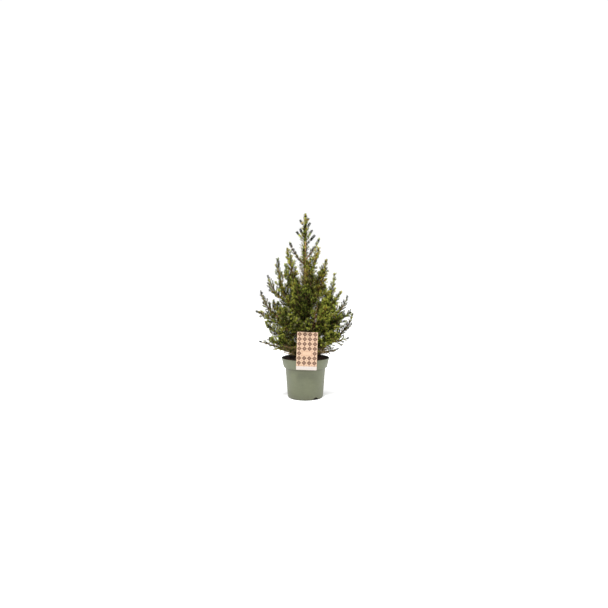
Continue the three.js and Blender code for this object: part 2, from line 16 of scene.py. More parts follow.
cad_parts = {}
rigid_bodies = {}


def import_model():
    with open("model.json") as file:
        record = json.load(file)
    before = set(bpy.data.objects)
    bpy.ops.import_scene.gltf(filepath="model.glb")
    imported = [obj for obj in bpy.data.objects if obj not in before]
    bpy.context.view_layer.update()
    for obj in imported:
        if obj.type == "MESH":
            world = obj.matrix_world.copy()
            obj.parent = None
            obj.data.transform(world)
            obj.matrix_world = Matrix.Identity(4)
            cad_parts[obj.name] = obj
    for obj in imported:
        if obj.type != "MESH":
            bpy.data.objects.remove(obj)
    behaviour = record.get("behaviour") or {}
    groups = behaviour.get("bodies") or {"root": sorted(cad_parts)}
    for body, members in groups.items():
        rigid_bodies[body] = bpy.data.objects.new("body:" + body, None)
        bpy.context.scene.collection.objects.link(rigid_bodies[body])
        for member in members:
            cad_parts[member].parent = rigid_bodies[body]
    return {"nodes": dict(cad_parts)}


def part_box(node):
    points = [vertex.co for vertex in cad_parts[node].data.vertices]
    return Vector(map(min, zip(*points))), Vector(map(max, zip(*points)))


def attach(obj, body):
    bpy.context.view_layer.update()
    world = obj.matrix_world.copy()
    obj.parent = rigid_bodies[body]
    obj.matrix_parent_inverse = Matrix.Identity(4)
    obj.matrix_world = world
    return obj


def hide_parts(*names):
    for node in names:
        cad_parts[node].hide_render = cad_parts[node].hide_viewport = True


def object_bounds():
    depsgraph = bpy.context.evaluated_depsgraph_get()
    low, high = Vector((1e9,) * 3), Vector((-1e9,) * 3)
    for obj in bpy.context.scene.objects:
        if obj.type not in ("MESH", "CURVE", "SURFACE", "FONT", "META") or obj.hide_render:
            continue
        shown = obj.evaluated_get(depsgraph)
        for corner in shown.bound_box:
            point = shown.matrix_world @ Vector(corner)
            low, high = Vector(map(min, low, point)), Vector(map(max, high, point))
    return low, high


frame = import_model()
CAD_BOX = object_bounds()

bpy.ops.object.select_all(action="DESELECT")
MM = 0.001
print("nodes", len(frame["nodes"]), "box", [round(x, 3) for corner in CAD_BOX for x in corner])

# %% [markdown]
# ## Camera and studio
# The picture is taken from a little above the middle of the plant, 1.8 m in front of it, with the camera
# tipped down by a few degrees. The floor and the world are near white, so the ground disappears and only
# a soft shadow is left round the foot of the pot. A soft lamp high in front gives the form, and two
# fainter ones at the sides brighten the edges of the round pot.

# %% Camera and studio
CAMERA_PLACE = (-0.005, -1.8, 0.436)
CAMERA_PITCH = 3.344  # degrees down
FOCAL_SHARE = 511.5 / 608  # the focal length as a share of the picture's width
SKY_STRENGTH = 1.04
LAMP_TARGET = Vector((0, 0, 0.25))

scene = bpy.context.scene
camera = bpy.data.objects.new("camera", bpy.data.cameras.new("camera"))
scene.collection.objects.link(camera)
camera.location = CAMERA_PLACE
camera.rotation_euler = (math.radians(90 - CAMERA_PITCH), 0, 0)
camera.data.lens = FOCAL_SHARE * camera.data.sensor_width
scene.camera = camera
scene.view_settings.view_transform = "Standard"

world = bpy.data.worlds.new("studio")
scene.world = world
world.use_nodes = True
sky = world.node_tree.nodes["Background"].inputs
sky["Color"].default_value = (1, 1, 1, 1)
sky["Strength"].default_value = SKY_STRENGTH


def soft_lamp(name, place, size, watts):
    lamp = bpy.data.objects.new(name, bpy.data.lights.new(name, "AREA"))
    scene.collection.objects.link(lamp)
    lamp.location = place
    lamp.rotation_euler = (LAMP_TARGET - Vector(place)).to_track_quat("-Z", "Y").to_euler()
    lamp.data.size = size
    lamp.data.energy = watts


soft_lamp("key", (-0.15, -1.3, 2.5), 0.5, 100)
soft_lamp("left side", (-1.7, -0.1, 0.7), 1.0, 12)
soft_lamp("right side", (1.7, -0.1, 0.7), 1.0, 12)
print("view", scene.view_settings.view_transform)

# %% [markdown]
# ## Finishes
# A finish is a Principled shader with a few nodes in front of it. The nodes are written as sums: Value
# wraps a socket, and a sum on it adds the Math nodes.


# %% Sums on sockets
class Value:
    """A socket of a finish. A sum on it adds Math nodes."""

    def __init__(self, finish, socket):
        self.finish = finish
        self.socket = socket

    def maths(self, operation, *inputs):
        return self.finish.node("ShaderNodeMath", {"operation": operation}, dict(enumerate(inputs)))

    def __add__(self, other):
        return self.maths("ADD", self, other)

    def __sub__(self, other):
        return self.maths("SUBTRACT", self, other)

    def __rsub__(self, other):
        return self.maths("SUBTRACT", other, self)

    def __mul__(self, other):
        return self.maths("MULTIPLY", self, other)

    def __mod__(self, other):
        return self.maths("FLOORED_MODULO", self, other)

    def __pow__(self, other):
        return self.maths("POWER", self, other)

    def __abs__(self):
        return self.maths("ABSOLUTE", self)

    __radd__ = __add__
    __rmul__ = __mul__

    def below(self, limit, soft=0.0001):
        """1 where the value is under the limit and 0 where it is over, with a soft step."""
        settings = {"clamp": True}
        inputs = {0: self, 1: limit - soft, 2: limit + soft, 3: 1.0, 4: 0.0}
        return self.finish.node("ShaderNodeMapRange", settings, inputs)

    def least(self, other):
        return self.maths("MINIMUM", self, other)

    def most(self, other):
        return self.maths("MAXIMUM", self, other)


# %% [markdown]
# A finish keeps the material, its shader and one method, node, that every other one goes through. It takes
# a node's type, its settings, which are set first, and the values or links of its sockets. What is the same
# all over a surface is set straight on the shader. Colours are written as sRGB codes, as a colour chart
# gives them, and made linear on the way.


# %% A finish
def linear(code):
    """The linear colour of an sRGB code such as "8a9478"."""
    parts = [int(code[i : i + 2], 16) / 255 for i in (0, 2, 4)]
    return (*[c / 12.92 if c <= 0.04045 else ((c + 0.055) / 1.055) ** 2.4 for c in parts], 1)


class Finish:
    """A material of one Principled shader, and the nodes in front of it."""

    def __init__(self, name, **uniform):
        self.material = bpy.data.materials.new(name)
        self.material.use_nodes = True
        self.tree = self.material.node_tree
        self.shader = self.tree.nodes["Principled BSDF"]
        for socket, value in uniform.items():
            self.shader.inputs[socket.replace("_", " ")].default_value = value

    def node(self, kind, settings=None, inputs=None, output=0):
        made = self.tree.nodes.new(kind)
        for name, value in (settings or {}).items():
            if name == "stops":
                self.set_stops(made.color_ramp, value)
            else:
                setattr(made, name, value)
        for key, value in (inputs or {}).items():
            self.feed(made.inputs[key], value)
        return Value(self, made.outputs[output])

    @staticmethod
    def set_stops(ramp, stops):
        while len(ramp.elements) < len(stops):
            ramp.elements.new(1)
        for element, (place, code) in zip(ramp.elements, stops):
            element.position = place
            element.color = linear(code)

    def feed(self, socket, value):
        if isinstance(value, Value):
            self.tree.links.new(value.socket, socket)
        else:
            socket.default_value = linear(value) if isinstance(value, str) else value

    def place(self):
        return self.node("ShaderNodeTexCoord", output="Object")

    def part(self, axis, vector=None):
        """One coordinate of a vector, or else of the place on the piece."""
        return self.node("ShaderNodeSeparateXYZ", None, {0: vector or self.place()}, axis)

    def stretched(self, scale):
        return self.node("ShaderNodeMapping", None, {"Vector": self.place(), "Scale": scale})

    def noise(self, scale, detail=3.0, vector=None, roughness=0.5):
        inputs = {"Vector": vector or self.place(), "Scale": scale}
        inputs |= {"Detail": detail, "Roughness": roughness}
        return self.node("ShaderNodeTexNoise", None, inputs, "Fac")

    def spots(self, scale, vector=None):
        inputs = {"Vector": vector or self.place(), "Scale": scale}
        return self.node("ShaderNodeTexVoronoi", None, inputs, "Distance")

    def ramp(self, factor, *stops):
        return self.node("ShaderNodeValToRGB", {"stops": stops}, {"Fac": factor})

    def mix(self, factor, first, second):
        return self.node("ShaderNodeMix", {"data_type": "RGBA"}, {0: factor, 6: first, 7: second}, 2)

    def colour(self, value):
        self.feed(self.shader.inputs["Base Color"], value)

    def rough(self, value):
        self.feed(self.shader.inputs["Roughness"], value)

    def bump(self, height, distance, strength=1.0):
        inputs = {"Height": height, "Distance": distance, "Strength": strength}
        self.feed(self.shader.inputs["Normal"], self.node("ShaderNodeBump", None, inputs))


print("white is", linear("ffffff"))

# %% [markdown]
# ## Making pieces
# Every piece ends in the same way: its mesh holds its place, it gets one finish, it rides on the plant's
# only body, and the plain solids that it stands for are hidden.


# %% Making pieces
def hand_over(piece, finish, slot, *nodes):
    piece.data.materials.clear()
    piece.data.materials.append(finish.material)
    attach(piece, "root")
    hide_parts(*nodes)
    faces = sum(len(face.vertices) - 2 for face in piece.data.polygons)
    print(piece.name, faces, "triangles")


def begin(name):
    """Names the primitive that was just added, with its place in its mesh, and opens it for editing."""
    piece = bpy.context.object
    piece.name = name
    bpy.ops.object.transform_apply(location=True, rotation=True, scale=True)
    bpy.ops.object.mode_set(mode="EDIT")
    return piece


def end():
    """Closes the edit with all normals outwards."""
    bpy.ops.mesh.select_all(action="SELECT")
    bpy.ops.mesh.remove_doubles(threshold=0.00001)
    bpy.ops.mesh.normals_make_consistent(inside=False)
    bpy.ops.object.mode_set(mode="OBJECT")


def pick(piece):
    """Makes a piece the active one and the only one selected."""
    bpy.ops.object.select_all(action="DESELECT")
    bpy.context.view_layer.objects.active = piece
    piece.select_set(True)


def pick_edges(piece, wanted):
    """In edit mode, selects the edges whose two ends pass a test, and nothing else."""
    bpy.ops.mesh.select_all(action="DESELECT")
    bpy.ops.mesh.select_mode(type="EDGE")
    bpy.ops.object.mode_set(mode="OBJECT")
    for edge in piece.data.edges:
        edge.select = wanted(*(piece.data.vertices[v].co for v in edge.vertices))
    bpy.ops.object.mode_set(mode="EDIT")


def apply(piece, kind, **settings):
    modifier = piece.modifiers.new(kind.lower(), kind)
    for name, value in settings.items():
        setattr(modifier, name, value)
    pick(piece)
    bpy.ops.object.modifier_apply(modifier=modifier.name)


def roughen(piece, scale, strength, **settings):
    """Displaces a piece by a cloud texture. Scale and strength are in millimetres."""
    clouds = bpy.data.textures.new(f"{piece.name} {scale}", "CLOUDS")
    clouds.noise_scale = scale * MM
    settings |= {"texture": clouds, "texture_coords": "LOCAL", "mid_level": 0.5}
    apply(piece, "DISPLACE", strength=strength * MM, **settings)


def smooth(piece, degrees):
    pick(piece)
    bpy.ops.object.shade_smooth_by_angle(angle=math.radians(degrees))


# %% [markdown]
# Two shapes come back again and again. A turned piece is a ring that is extruded through a profile. And
# what repeats by the thousand is described once, by a few corners and faces, and copied by arrays.


# %% Turned pieces and copies
def rings(profile):
    """Extrudes the selected ring through (radius, height) pairs, starting from the first."""
    radius, height = profile[0]
    for next_radius, next_height in profile[1:]:
        move = {"value": (0, 0, next_height - height)}
        bpy.ops.mesh.extrude_edges_move(TRANSFORM_OT_translate=move)
        share = next_radius / radius
        bpy.ops.transform.resize(value=(share, share, 1), center_override=(0, 0, next_height))
        radius, height = next_radius, next_height


def mesh_of(name, corners, faces):
    """A piece of many copies: a row of corners for each, in millimetres, and the faces of one copy."""
    count, size = corners.shape[:2]
    faces = (np.array(faces) + size * np.arange(count)[:, None, None]).reshape(-1, 3)
    corners = corners.reshape(-1, 3)
    mesh = bpy.data.meshes.new(name)
    mesh.vertices.add(len(corners))
    mesh.vertices.foreach_set("co", (corners * MM).astype(np.float32).ravel())
    mesh.loops.add(faces.size)
    mesh.loops.foreach_set("vertex_index", faces.astype(np.int32).ravel())
    mesh.polygons.add(len(faces))
    mesh.polygons.foreach_set("loop_start", np.arange(0, faces.size, 3, dtype=np.int32))
    mesh.update(calc_edges=True)
    mesh.validate()
    piece = bpy.data.objects.new(name, mesh)
    scene.collection.objects.link(piece)
    return piece


print("one unit is", 1 / MM, "mm")

# %% [markdown]
# ## The floor
# The floor is only a stage, so it stays plain and pale. Further out a faint glow is painted on it, painted
# light that is left off near the pot, which leaves the shadow tight round the pot.

# %% The floor
GLOW_FROM = 0.09
GLOW_FULL = 0.22
bpy.ops.mesh.primitive_plane_add(size=12, location=(0, 0, 0))
floor = begin("floor")
end()
paper = Finish("studio paper", Roughness=0.9, Specular_IOR_Level=0.1, Emission_Strength=0.3)
# painted light: the floor's glow starts GLOW_FROM from the pot and is full from GLOW_FULL
from_pot = paper.node("ShaderNodeVectorMath", {"operation": "LENGTH"}, {0: paper.place()}, "Value")
glow = paper.ramp(from_pot, (GLOW_FROM, "000000"), (GLOW_FULL, "ffffff"))
paper.feed(paper.shader.inputs["Emission Color"], glow)
paper.colour(paper.ramp(paper.noise(0.6), (0.3, "efeff0"), (0.7, "f2f2f2")))
floor.data.materials.append(paper.material)
print("stage", floor.name)

# %% [markdown]
# ## The pot
# A nursery pot is blown or moulded in thin plastic: a tapering wall, a wider band with a rolled lip, and a
# rounded heel with arched notches where water drains. A turned shape like this is a ring that is extruded
# up its outside and down its inside, so the wall is one closed shell. The notches are cut afterwards.

# %% The pot's measures
POT_SIDES = 128
pot_low, pot_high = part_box("pot")
LIP_HEIGHT = pot_high.z
LIP_RADIUS = pot_high.x
LIP_WALL = 2.6 * MM
BAND_FOOT = 109 * MM
BAND_FOOT_RADIUS = 77.5 * MM
BODY_TOP_RADIUS = 71.5 * MM
BODY_FOOT_RADIUS = 63 * MM
HEEL_HEIGHT = 9 * MM
FOOT_RADIUS = 57 * MM
WALL = 2 * MM
FLOOR = 3 * MM
EDGE = 0.9 * MM
RING_SHARE = 0.99  # of its radius, past which an edge of a disc is on its rim


def between(first, last, share):
    return first + (last - first) * share


def band_radius(height):
    return between(BAND_FOOT_RADIUS, LIP_RADIUS, (height - BAND_FOOT) / (LIP_HEIGHT - BAND_FOOT))


def body_radius(height):
    return between(BODY_FOOT_RADIUS, BODY_TOP_RADIUS, (height - HEEL_HEIGHT) / (BAND_FOOT - HEEL_HEIGHT))


def arc(centre, radius, start, stop, steps):
    """(radius, height) pairs on an arc, with its angles in degrees from the outward direction."""
    angles = [math.radians(between(start, stop, i / steps)) for i in range(steps + 1)]
    return [(centre[0] + radius * math.cos(a), centre[1] + radius * math.sin(a)) for a in angles]


def on_rim(radius):
    """The test for the edges that lie on a disc's rim."""
    return lambda first, last: min(first.xy.length, last.xy.length) > radius * RING_SHARE


print("lip", round(LIP_RADIUS / MM), "mm from the axis,", round(LIP_HEIGHT / MM), "mm up")

# %% [markdown]
# The outside goes up from the foot round the heel, over the small step above it, up the wall, out under the
# band, and up the band to the beaded lip. The inside comes down from the lip by the ledge to the floor.

# %% The pot's wall
heel_bend = FOOT_RADIUS + (BODY_FOOT_RADIUS - FOOT_RADIUS) * 0.72
bead = LIP_HEIGHT - 4.2 * MM
outside = [
    (FOOT_RADIUS, 0),
    (between(FOOT_RADIUS, heel_bend, 0.55), HEEL_HEIGHT * 0.12),
    (heel_bend, HEEL_HEIGHT * 0.33),
    (between(heel_bend, BODY_FOOT_RADIUS, 0.6), HEEL_HEIGHT * 0.62),
    (BODY_FOOT_RADIUS, HEEL_HEIGHT),
    (body_radius(HEEL_HEIGHT + 1.4 * MM) - 0.25 * MM, HEEL_HEIGHT + 1.4 * MM),
    (body_radius(HEEL_HEIGHT + 2.4 * MM), HEEL_HEIGHT + 2.4 * MM),
    *[(body_radius(h * MM), h * MM) for h in (30, 50, 70, 90)],
    (body_radius(BAND_FOOT) - 0.5 * MM, BAND_FOOT - 2.2 * MM),
    (body_radius(BAND_FOOT) + 0.4 * MM, BAND_FOOT - 0.3 * MM),
    (BAND_FOOT_RADIUS - EDGE, BAND_FOOT),
    (BAND_FOOT_RADIUS - EDGE * 0.3, BAND_FOOT + EDGE * 0.3),
    (band_radius(BAND_FOOT + EDGE), BAND_FOOT + EDGE),
    (band_radius(bead - 1.6 * MM) - 0.1 * MM, bead - 1.6 * MM),
    (band_radius(bead - 0.6 * MM) - 0.45 * MM, bead - 0.6 * MM),
    (band_radius(bead) - 0.1 * MM, bead),
]
lip = arc((LIP_RADIUS - LIP_WALL / 2, LIP_HEIGHT - LIP_WALL / 2), LIP_WALL / 2, 0, 180, 8)
ledge = BAND_FOOT + WALL
inside = [
    (band_radius(ledge) - WALL, ledge),
    (body_radius(BAND_FOOT) - WALL, ledge),
    (body_radius(HEEL_HEIGHT) - WALL, HEEL_HEIGHT),
    (FOOT_RADIUS - WALL, FLOOR),
]
bpy.ops.mesh.primitive_circle_add(vertices=POT_SIDES, radius=FOOT_RADIUS)
pot = begin("nursery_pot")
bpy.ops.mesh.edge_face_add()
bpy.ops.mesh.inset(thickness=FOOT_RADIUS * 0.12)
pick_edges(pot, on_rim(FOOT_RADIUS))
rings(outside + lip + inside)
bpy.ops.mesh.edge_face_add()
bpy.ops.mesh.inset(thickness=FOOT_RADIUS * 0.1)
end()
print("profile of", len(outside + lip + inside), "points")

# %% [markdown]
# The drain notches are arches that are cut through the heel. One cutter is a half-round bar that points
# outwards; it is turned to each of its places in turn and taken away.

# %% The drain notches
DRAIN_FIRST = 305  # degrees
DRAIN_COUNT = 3
DRAIN_WIDTH = 22 * MM
DRAIN_HEIGHT = 9.5 * MM
DRAIN_MIDDLE = 60 * MM
DRAIN_DEPTH = 20 * MM
for i in range(DRAIN_COUNT):
    azimuth = math.radians(DRAIN_FIRST + i * 360 / DRAIN_COUNT)
    bpy.ops.mesh.primitive_cylinder_add(
        vertices=40,
        radius=1,
        depth=DRAIN_DEPTH,
        location=(DRAIN_MIDDLE * math.cos(azimuth), DRAIN_MIDDLE * math.sin(azimuth), 0),
        rotation=(0, math.radians(90), azimuth),
        scale=(DRAIN_HEIGHT, DRAIN_WIDTH / 2, 1),
    )
    cutter = bpy.context.object
    apply(pot, "BOOLEAN", object=cutter, operation="DIFFERENCE", solver="EXACT")
    bpy.data.objects.remove(cutter)
smooth(pot, 32)
print(DRAIN_COUNT, "notches")

# %% [markdown]
# ## The pot's finish
# Matt sage-green plastic. Moulding leaves the faintest mottling and fine marks round the wall, the band is
# a little paler, faint paler rubs lie here and there, and watering leaves a thin film of earth near the lip
# and on the heel. A thin dark line under the band and the near-black insides of the drain notches are
# painted shade.

# %% The pot's finish
NOTCH_TOP = 11 * MM
sage = Finish("sage plastic", Specular_IOR_Level=0.42)
mottle = sage.noise(38, 4)
drawn = sage.noise(26, 2, sage.stretched((1, 1, 14)))
height = sage.part("Z")
film = sage.noise(60, 5)
splash = height.below(0.02, 0.014) + (LIP_HEIGHT - height).below(0.008, 0.006) * 0.7
green = sage.ramp(mottle * 0.6 + drawn * 0.4, (0.3, "4a4d39"), (0.7, "535640"))
# the band is a little paler than the wall, and the noise adds faint paler rubs all over
below_band = height.below(BAND_FOOT, 0.0005)
paler_band_and_rubs = sage.mix((1 - below_band) * 0.12 + sage.noise(140, 3) ** 3 * 0.4, green, "646955")
# painted shade: a thin dark line on the wall just under the band, mixed in with the film of earth
painted_shade_under_band = height.below(BAND_FOOT, 0.0004) * (BAND_FOOT - height).below(0.0045, 0.003)
earth_and_painted_shade = sage.mix(splash * film**2 * 0.55 + painted_shade_under_band * 0.6, paler_band_and_rubs, "3a3526")
# painted shade: the surfaces inside the drain notches are made near black
across_x, across_y = sage.part("X"), sage.part("Y")
spread = (across_x**2 + across_y**2) ** 0.5 - (height * 1.5).least(4.4 * MM)
painted_shade_in_notch = spread.below(FOOT_RADIUS - 0.9 * MM, 0.3 * MM) * height.below(NOTCH_TOP)
painted_shade_in_notch = painted_shade_in_notch * (1 - height.below(0.0003, 0.0001))
sage.colour(sage.mix(painted_shade_in_notch * 0.92, earth_and_painted_shade, "14120d"))
sage.rough(0.44 + mottle * 0.22)
sage.bump(mottle * 0.6 + sage.noise(700, 2) * 0.25 + drawn * 0.3, 0.00025, 0.5)
hand_over(pot, sage, "pot", "pot")

# %% [markdown]
# ## The soil
# Potting soil is dark and crumbly. The bed is a plug that fills the pot: a ring extruded up the inside of
# the wall and then inwards in many steps, so that its top can be roughened. Loose crumbs and chips of bark
# lie on it, scattered by the same seed each time.

# %% The soil bed
SOIL_TOP = 143
SOIL_EDGE = 136.5
HEAPED_TO = 0.44
CLEARANCE = 0.3
soil_edge = SOIL_EDGE * MM
plug_gap = WALL + 2 * CLEARANCE * MM
plug = [
    (FOOT_RADIUS - plug_gap, FLOOR + CLEARANCE * MM),
    (body_radius(HEEL_HEIGHT + MM) - plug_gap, HEEL_HEIGHT + MM),
    (body_radius(BAND_FOOT) - plug_gap, ledge + CLEARANCE * MM),
    (band_radius(ledge) - plug_gap, ledge + CLEARANCE * MM),
    (band_radius(soil_edge) - plug_gap, soil_edge),
]
SOIL_RADIUS = plug[-1][0]
SOIL_RINGS = 34
SOIL_SIDES = 96


def heap_height(share):
    """The soil's height in millimetres at a share of its radius: it climbs from the wall to the trunk."""
    climbed = np.minimum(1, (1 - np.asarray(share)) / (1 - HEAPED_TO))
    return SOIL_EDGE + (SOIL_TOP - SOIL_EDGE) * (1 - (1 - climbed) ** 2)


ring_shares = [1 - i / SOIL_RINGS for i in range(1, SOIL_RINGS)]
plug += [(SOIL_RADIUS * share, float(heap_height(share) - 0.4) * MM) for share in ring_shares]
plug_radius, plug_foot = plug[0]
bpy.ops.mesh.primitive_circle_add(
    vertices=SOIL_SIDES, radius=plug_radius, location=(0, 0, plug_foot), fill_type="NGON"
)
soil = begin("potting_soil")
bpy.ops.mesh.inset(thickness=plug_radius * 0.1)
pick_edges(soil, on_rim(plug_radius))
rings(plug)
bpy.ops.mesh.edge_face_add()
end()
print("soil bed", round(SOIL_RADIUS / MM), "mm in radius")

# %% [markdown]
# Clods of three sizes roughen the top. They fade out towards the wall, so that the rim stays closed.

# %% Clods and peat
top = soil.vertex_groups.new(name="top")
for vertex in soil.data.vertices:
    if vertex.co.z > soil_edge + 0.01 * MM:
        top.add([vertex.index], min(1, (SOIL_RADIUS - vertex.co.xy.length) / (6 * MM)), "REPLACE")
for scale, strength in ((22, 5), (7, 3.4), (2.6, 1.8)):
    roughen(soil, scale, strength, direction="Z", vertex_group="top")
smooth(soil, 40)
earth = Finish("peat", Roughness=0.95, Specular_IOR_Level=0.2)
crumb = earth.noise(260, 5)
earth.colour(earth.ramp(crumb, (0.35, "120c08"), (0.55, "251a12"), (0.72, "4a3424")))
earth.bump(crumb + earth.spots(420) * 0.5, 0.0012)
hand_over(soil, earth, "soil", "soil")

# %% [markdown]
# The crumbs start from one small ico sphere. Its corners are copied by arrays, each copy stretched, turned
# and set down at its own place. The dark ones are peat and the reddish ones are chips of bark.


# %% Loose bits
def turned_by(axis, angle):
    """A rotation matrix for each unit axis and angle."""
    x, y, z = axis.T
    c, s = np.cos(angle), np.sin(angle)
    k = 1 - c
    rows = [
        [c + x * x * k, x * y * k - z * s, x * z * k + y * s],
        [y * x * k + z * s, c + y * y * k, y * z * k - x * s],
        [z * x * k - y * s, z * y * k + x * s, c + z * z * k],
    ]
    return np.moveaxis(np.array(rows), -1, 0)


def unit(vectors):
    return vectors / np.maximum(np.linalg.norm(vectors, axis=-1, keepdims=True), 1e-9)


def crumbs(name, count, size, flatness, seed):
    """Loose bits on the soil, size millimetres across on average."""
    bpy.ops.mesh.primitive_ico_sphere_add(subdivisions=1, radius=0.5)
    model = bpy.context.object
    corners = np.array([v.co for v in model.data.vertices])
    faces = np.array([f.vertices[:] for f in model.data.polygons])
    bpy.data.objects.remove(model)
    rng = np.random.default_rng(seed)
    corners = corners * (1 + rng.normal(0, 0.12, corners.shape))
    stretch = size * rng.lognormal(0, 0.35, (count, 1, 1)) * np.array([1.5, 1, flatness])
    spin = turned_by(unit(rng.normal(size=(count, 3))), rng.normal(0, 0.5, count))
    spin = spin @ turned_by(np.tile([0.0, 0, 1], (count, 1)), rng.uniform(0, 2 * math.pi, count))
    radius = (SOIL_RADIUS / MM - 3) * np.sqrt(rng.uniform(0.02, 1, count))
    angle = rng.uniform(0, 2 * math.pi, count)
    lie = heap_height(radius * MM / SOIL_RADIUS) + 0.3
    place = np.stack([radius * np.cos(angle), radius * np.sin(angle), lie], 1)
    placed = np.einsum("nij,nkj->nki", spin, corners * stretch) + place[:, None]
    return mesh_of(name, placed, faces)


# %% [markdown]
# Peat crumbs are the darker and rounder bits. Chips of bark are fewer and flatter.

# %% Crumbs and chips
peat = Finish("peat crumbs", Roughness=0.95, Specular_IOR_Level=0.2)
peat.colour(peat.ramp(peat.noise(90), (0.3, "120c08"), (0.7, "2c1f16")))
peat.bump(peat.noise(900), 0.0004)
chips = Finish("bark chips", Roughness=0.85, Specular_IOR_Level=0.3)
chips.colour(chips.ramp(chips.noise(110), (0.3, "38251a"), (0.7, "64452d")))
chips.bump(chips.noise(800), 0.0004)
hand_over(crumbs("soil_crumbs", 1900, 3.2, 0.8, 3), peat, "soil", "soil")
hand_over(crumbs("soil_bark_chips", 330, 3.6, 0.4, 4), chips, "soil", "soil")

# %% [markdown]
# ## The label
# A stiff card stands in front of the lip, held by a tongue that reaches over it down to the soil. The card
# is a block with its corners rounded and its edges just broken. Its print is a plain all-over pattern of
# small diamonds on peach, with an empty panel in the middle and a pale foot. The pattern follows a UV map
# that is laid flat on the card, in shares of its width and height.

# %% The card
LABEL_WIDTH = 70
LABEL_HEIGHT = 129
LABEL_THICKNESS = 0.8
LABEL_FOOT = 112
LABEL_SHIFT = 5
LABEL_TILT = 2  # degrees
label_back = LIP_RADIUS / MM + CLEARANCE
label_middle = Vector((LABEL_SHIFT, 0, LABEL_FOOT + LABEL_HEIGHT / 2)) * MM


def lean(piece):
    """Tips a piece of the label sideways round its middle, as the card stands."""
    turn = Matrix.Rotation(math.radians(LABEL_TILT), 3, "Y")
    for vertex in piece.data.vertices:
        vertex.co = turn @ (vertex.co - label_middle) + label_middle


bpy.ops.mesh.primitive_cube_add(
    size=1,
    location=(label_middle.x, -(label_back + LABEL_THICKNESS / 2) * MM, label_middle.z),
    scale=(LABEL_WIDTH * MM, LABEL_THICKNESS * MM, LABEL_HEIGHT * MM),
)
card = begin("label_card")
pick_edges(card, lambda first, last: abs(first.y - last.y) > LABEL_THICKNESS * MM / 2)
bpy.ops.mesh.bevel(offset=2.2 * MM, segments=5)
end()
apply(card, "BEVEL", width=0.12 * MM, segments=1, limit_method="ANGLE", angle_limit=math.radians(60))
print_map = card.data.uv_layers.new(name="print")
for loop in card.data.loops:
    place = (card.data.vertices[loop.vertex_index].co - label_middle) / MM
    print_map.data[loop.index].uv = (place.x / LABEL_WIDTH + 0.5, place.z / LABEL_HEIGHT + 0.5)
lean(card)
print("card", LABEL_WIDTH, "x", LABEL_HEIGHT, "mm")

# %% [markdown]
# The tongue is a narrow strip of the same card. Its side outline is a line that is extruded point by point:
# glued to the card's back, over the lip, and down the inside of the wall. Solidify gives it its thickness.

# %% The tongue
TONGUE_WIDTH = 26
TONGUE_TOP = 196
GLUED = 12
inside_lip = label_back - CLEARANCE - LIP_WALL / MM - 1
toe = SOIL_EDGE + 2.2
slant = (LIP_HEIGHT / MM - toe) * 0.24 + 1.2
strip = [
    (label_back - 0.45, TONGUE_TOP),
    (label_back - 0.45, TONGUE_TOP - GLUED),
    (inside_lip - 0.4, LIP_HEIGHT / MM + 4),
    (inside_lip - slant - 0.4, toe + 0.2),
]
bpy.ops.mesh.primitive_plane_add(size=1)
tongue = begin("label_tongue")
bpy.ops.mesh.delete(type="ONLY_FACE")
pick_edges(tongue, lambda first, last: min(first.y, last.y) > 0)
bpy.ops.mesh.select_all(action="INVERT")
bpy.ops.mesh.delete(type="EDGE")
bpy.ops.mesh.select_all(action="SELECT")
bpy.ops.transform.resize(value=(TONGUE_WIDTH * MM, 1, 1), center_override=(0, 0.5, 0))
start = (LABEL_SHIFT * MM, -strip[0][0] * MM - 0.5, strip[0][1] * MM)
bpy.ops.transform.translate(value=start)
for (out, high), (next_out, next_high) in zip(strip, strip[1:]):
    move = {"value": (0, (out - next_out) * MM, (next_high - high) * MM)}
    bpy.ops.mesh.extrude_edges_move(TRANSFORM_OT_translate=move)
bpy.ops.mesh.select_all(action="SELECT")
bpy.ops.object.mode_set(mode="OBJECT")
apply(tongue, "SOLIDIFY", thickness=LABEL_THICKNESS * MM, offset=0)
apply(tongue, "BEVEL", width=1.2 * MM, segments=3, limit_method="ANGLE", angle_limit=math.radians(25))
lean(tongue)
smooth(tongue, 30)
print("tongue", TONGUE_WIDTH, "mm wide, over", len(strip), "points")

# %% [markdown]
# The print is drawn with sums. Distances on the card are millimetres from its middle. Each cell of a grid
# holds a brown diamond with a pale four-leaved eye, and a mask keeps the cells off the panel and the foot.

# %% The label's pattern
CELL_WIDTH = 17.5
CELL_HEIGHT = 16.2
PANEL_DROP = 8.1  # the panel's middle lies this far below the card's
PANEL_HALF_WIDTH = 16.3
PANEL_HALF_HEIGHT = 6.9
FOOT_STRIP = 13
TICK_PITCH = 9
stock = Finish("peach card", Specular_IOR_Level=0.35)
flat = stock.node("ShaderNodeUVMap", {"uv_map": "print"})
x = (stock.part("X", flat) - 0.5) * LABEL_WIDTH
y = (stock.part("Y", flat) - 0.5) * LABEL_HEIGHT
from_foot = y + LABEL_HEIGHT / 2
cell_x = abs(x % CELL_WIDTH - CELL_WIDTH / 2)
cell_y = abs(y % CELL_HEIGHT - CELL_HEIGHT / 2)
spread = cell_x + cell_y
diamond = spread.below(8.1, 0.15)
eye = (cell_x * cell_y).below(0.7, 0.15) * spread.below(4.4, 0.12) * (1 - spread.below(1.3, 0.1))
dot = ((cell_x - CELL_WIDTH / 2) ** 2 + (cell_y - CELL_HEIGHT / 2) ** 2).below(0.8, 0.2)
panel = (abs(x) - PANEL_HALF_WIDTH).most(abs(y + PANEL_DROP) - PANEL_HALF_HEIGHT)
foot = from_foot.below(FOOT_STRIP, 0.1)
ink = ((diamond - eye) * (1 - panel.below(1.2, 0.1)) + dot).most(0) * (1 - foot)
frame_line = abs(panel).below(0.35, 0.12) + abs(panel + 2).below(0.2, 0.1)
foot_line = abs(from_foot - FOOT_STRIP).below(0.35, 0.1)
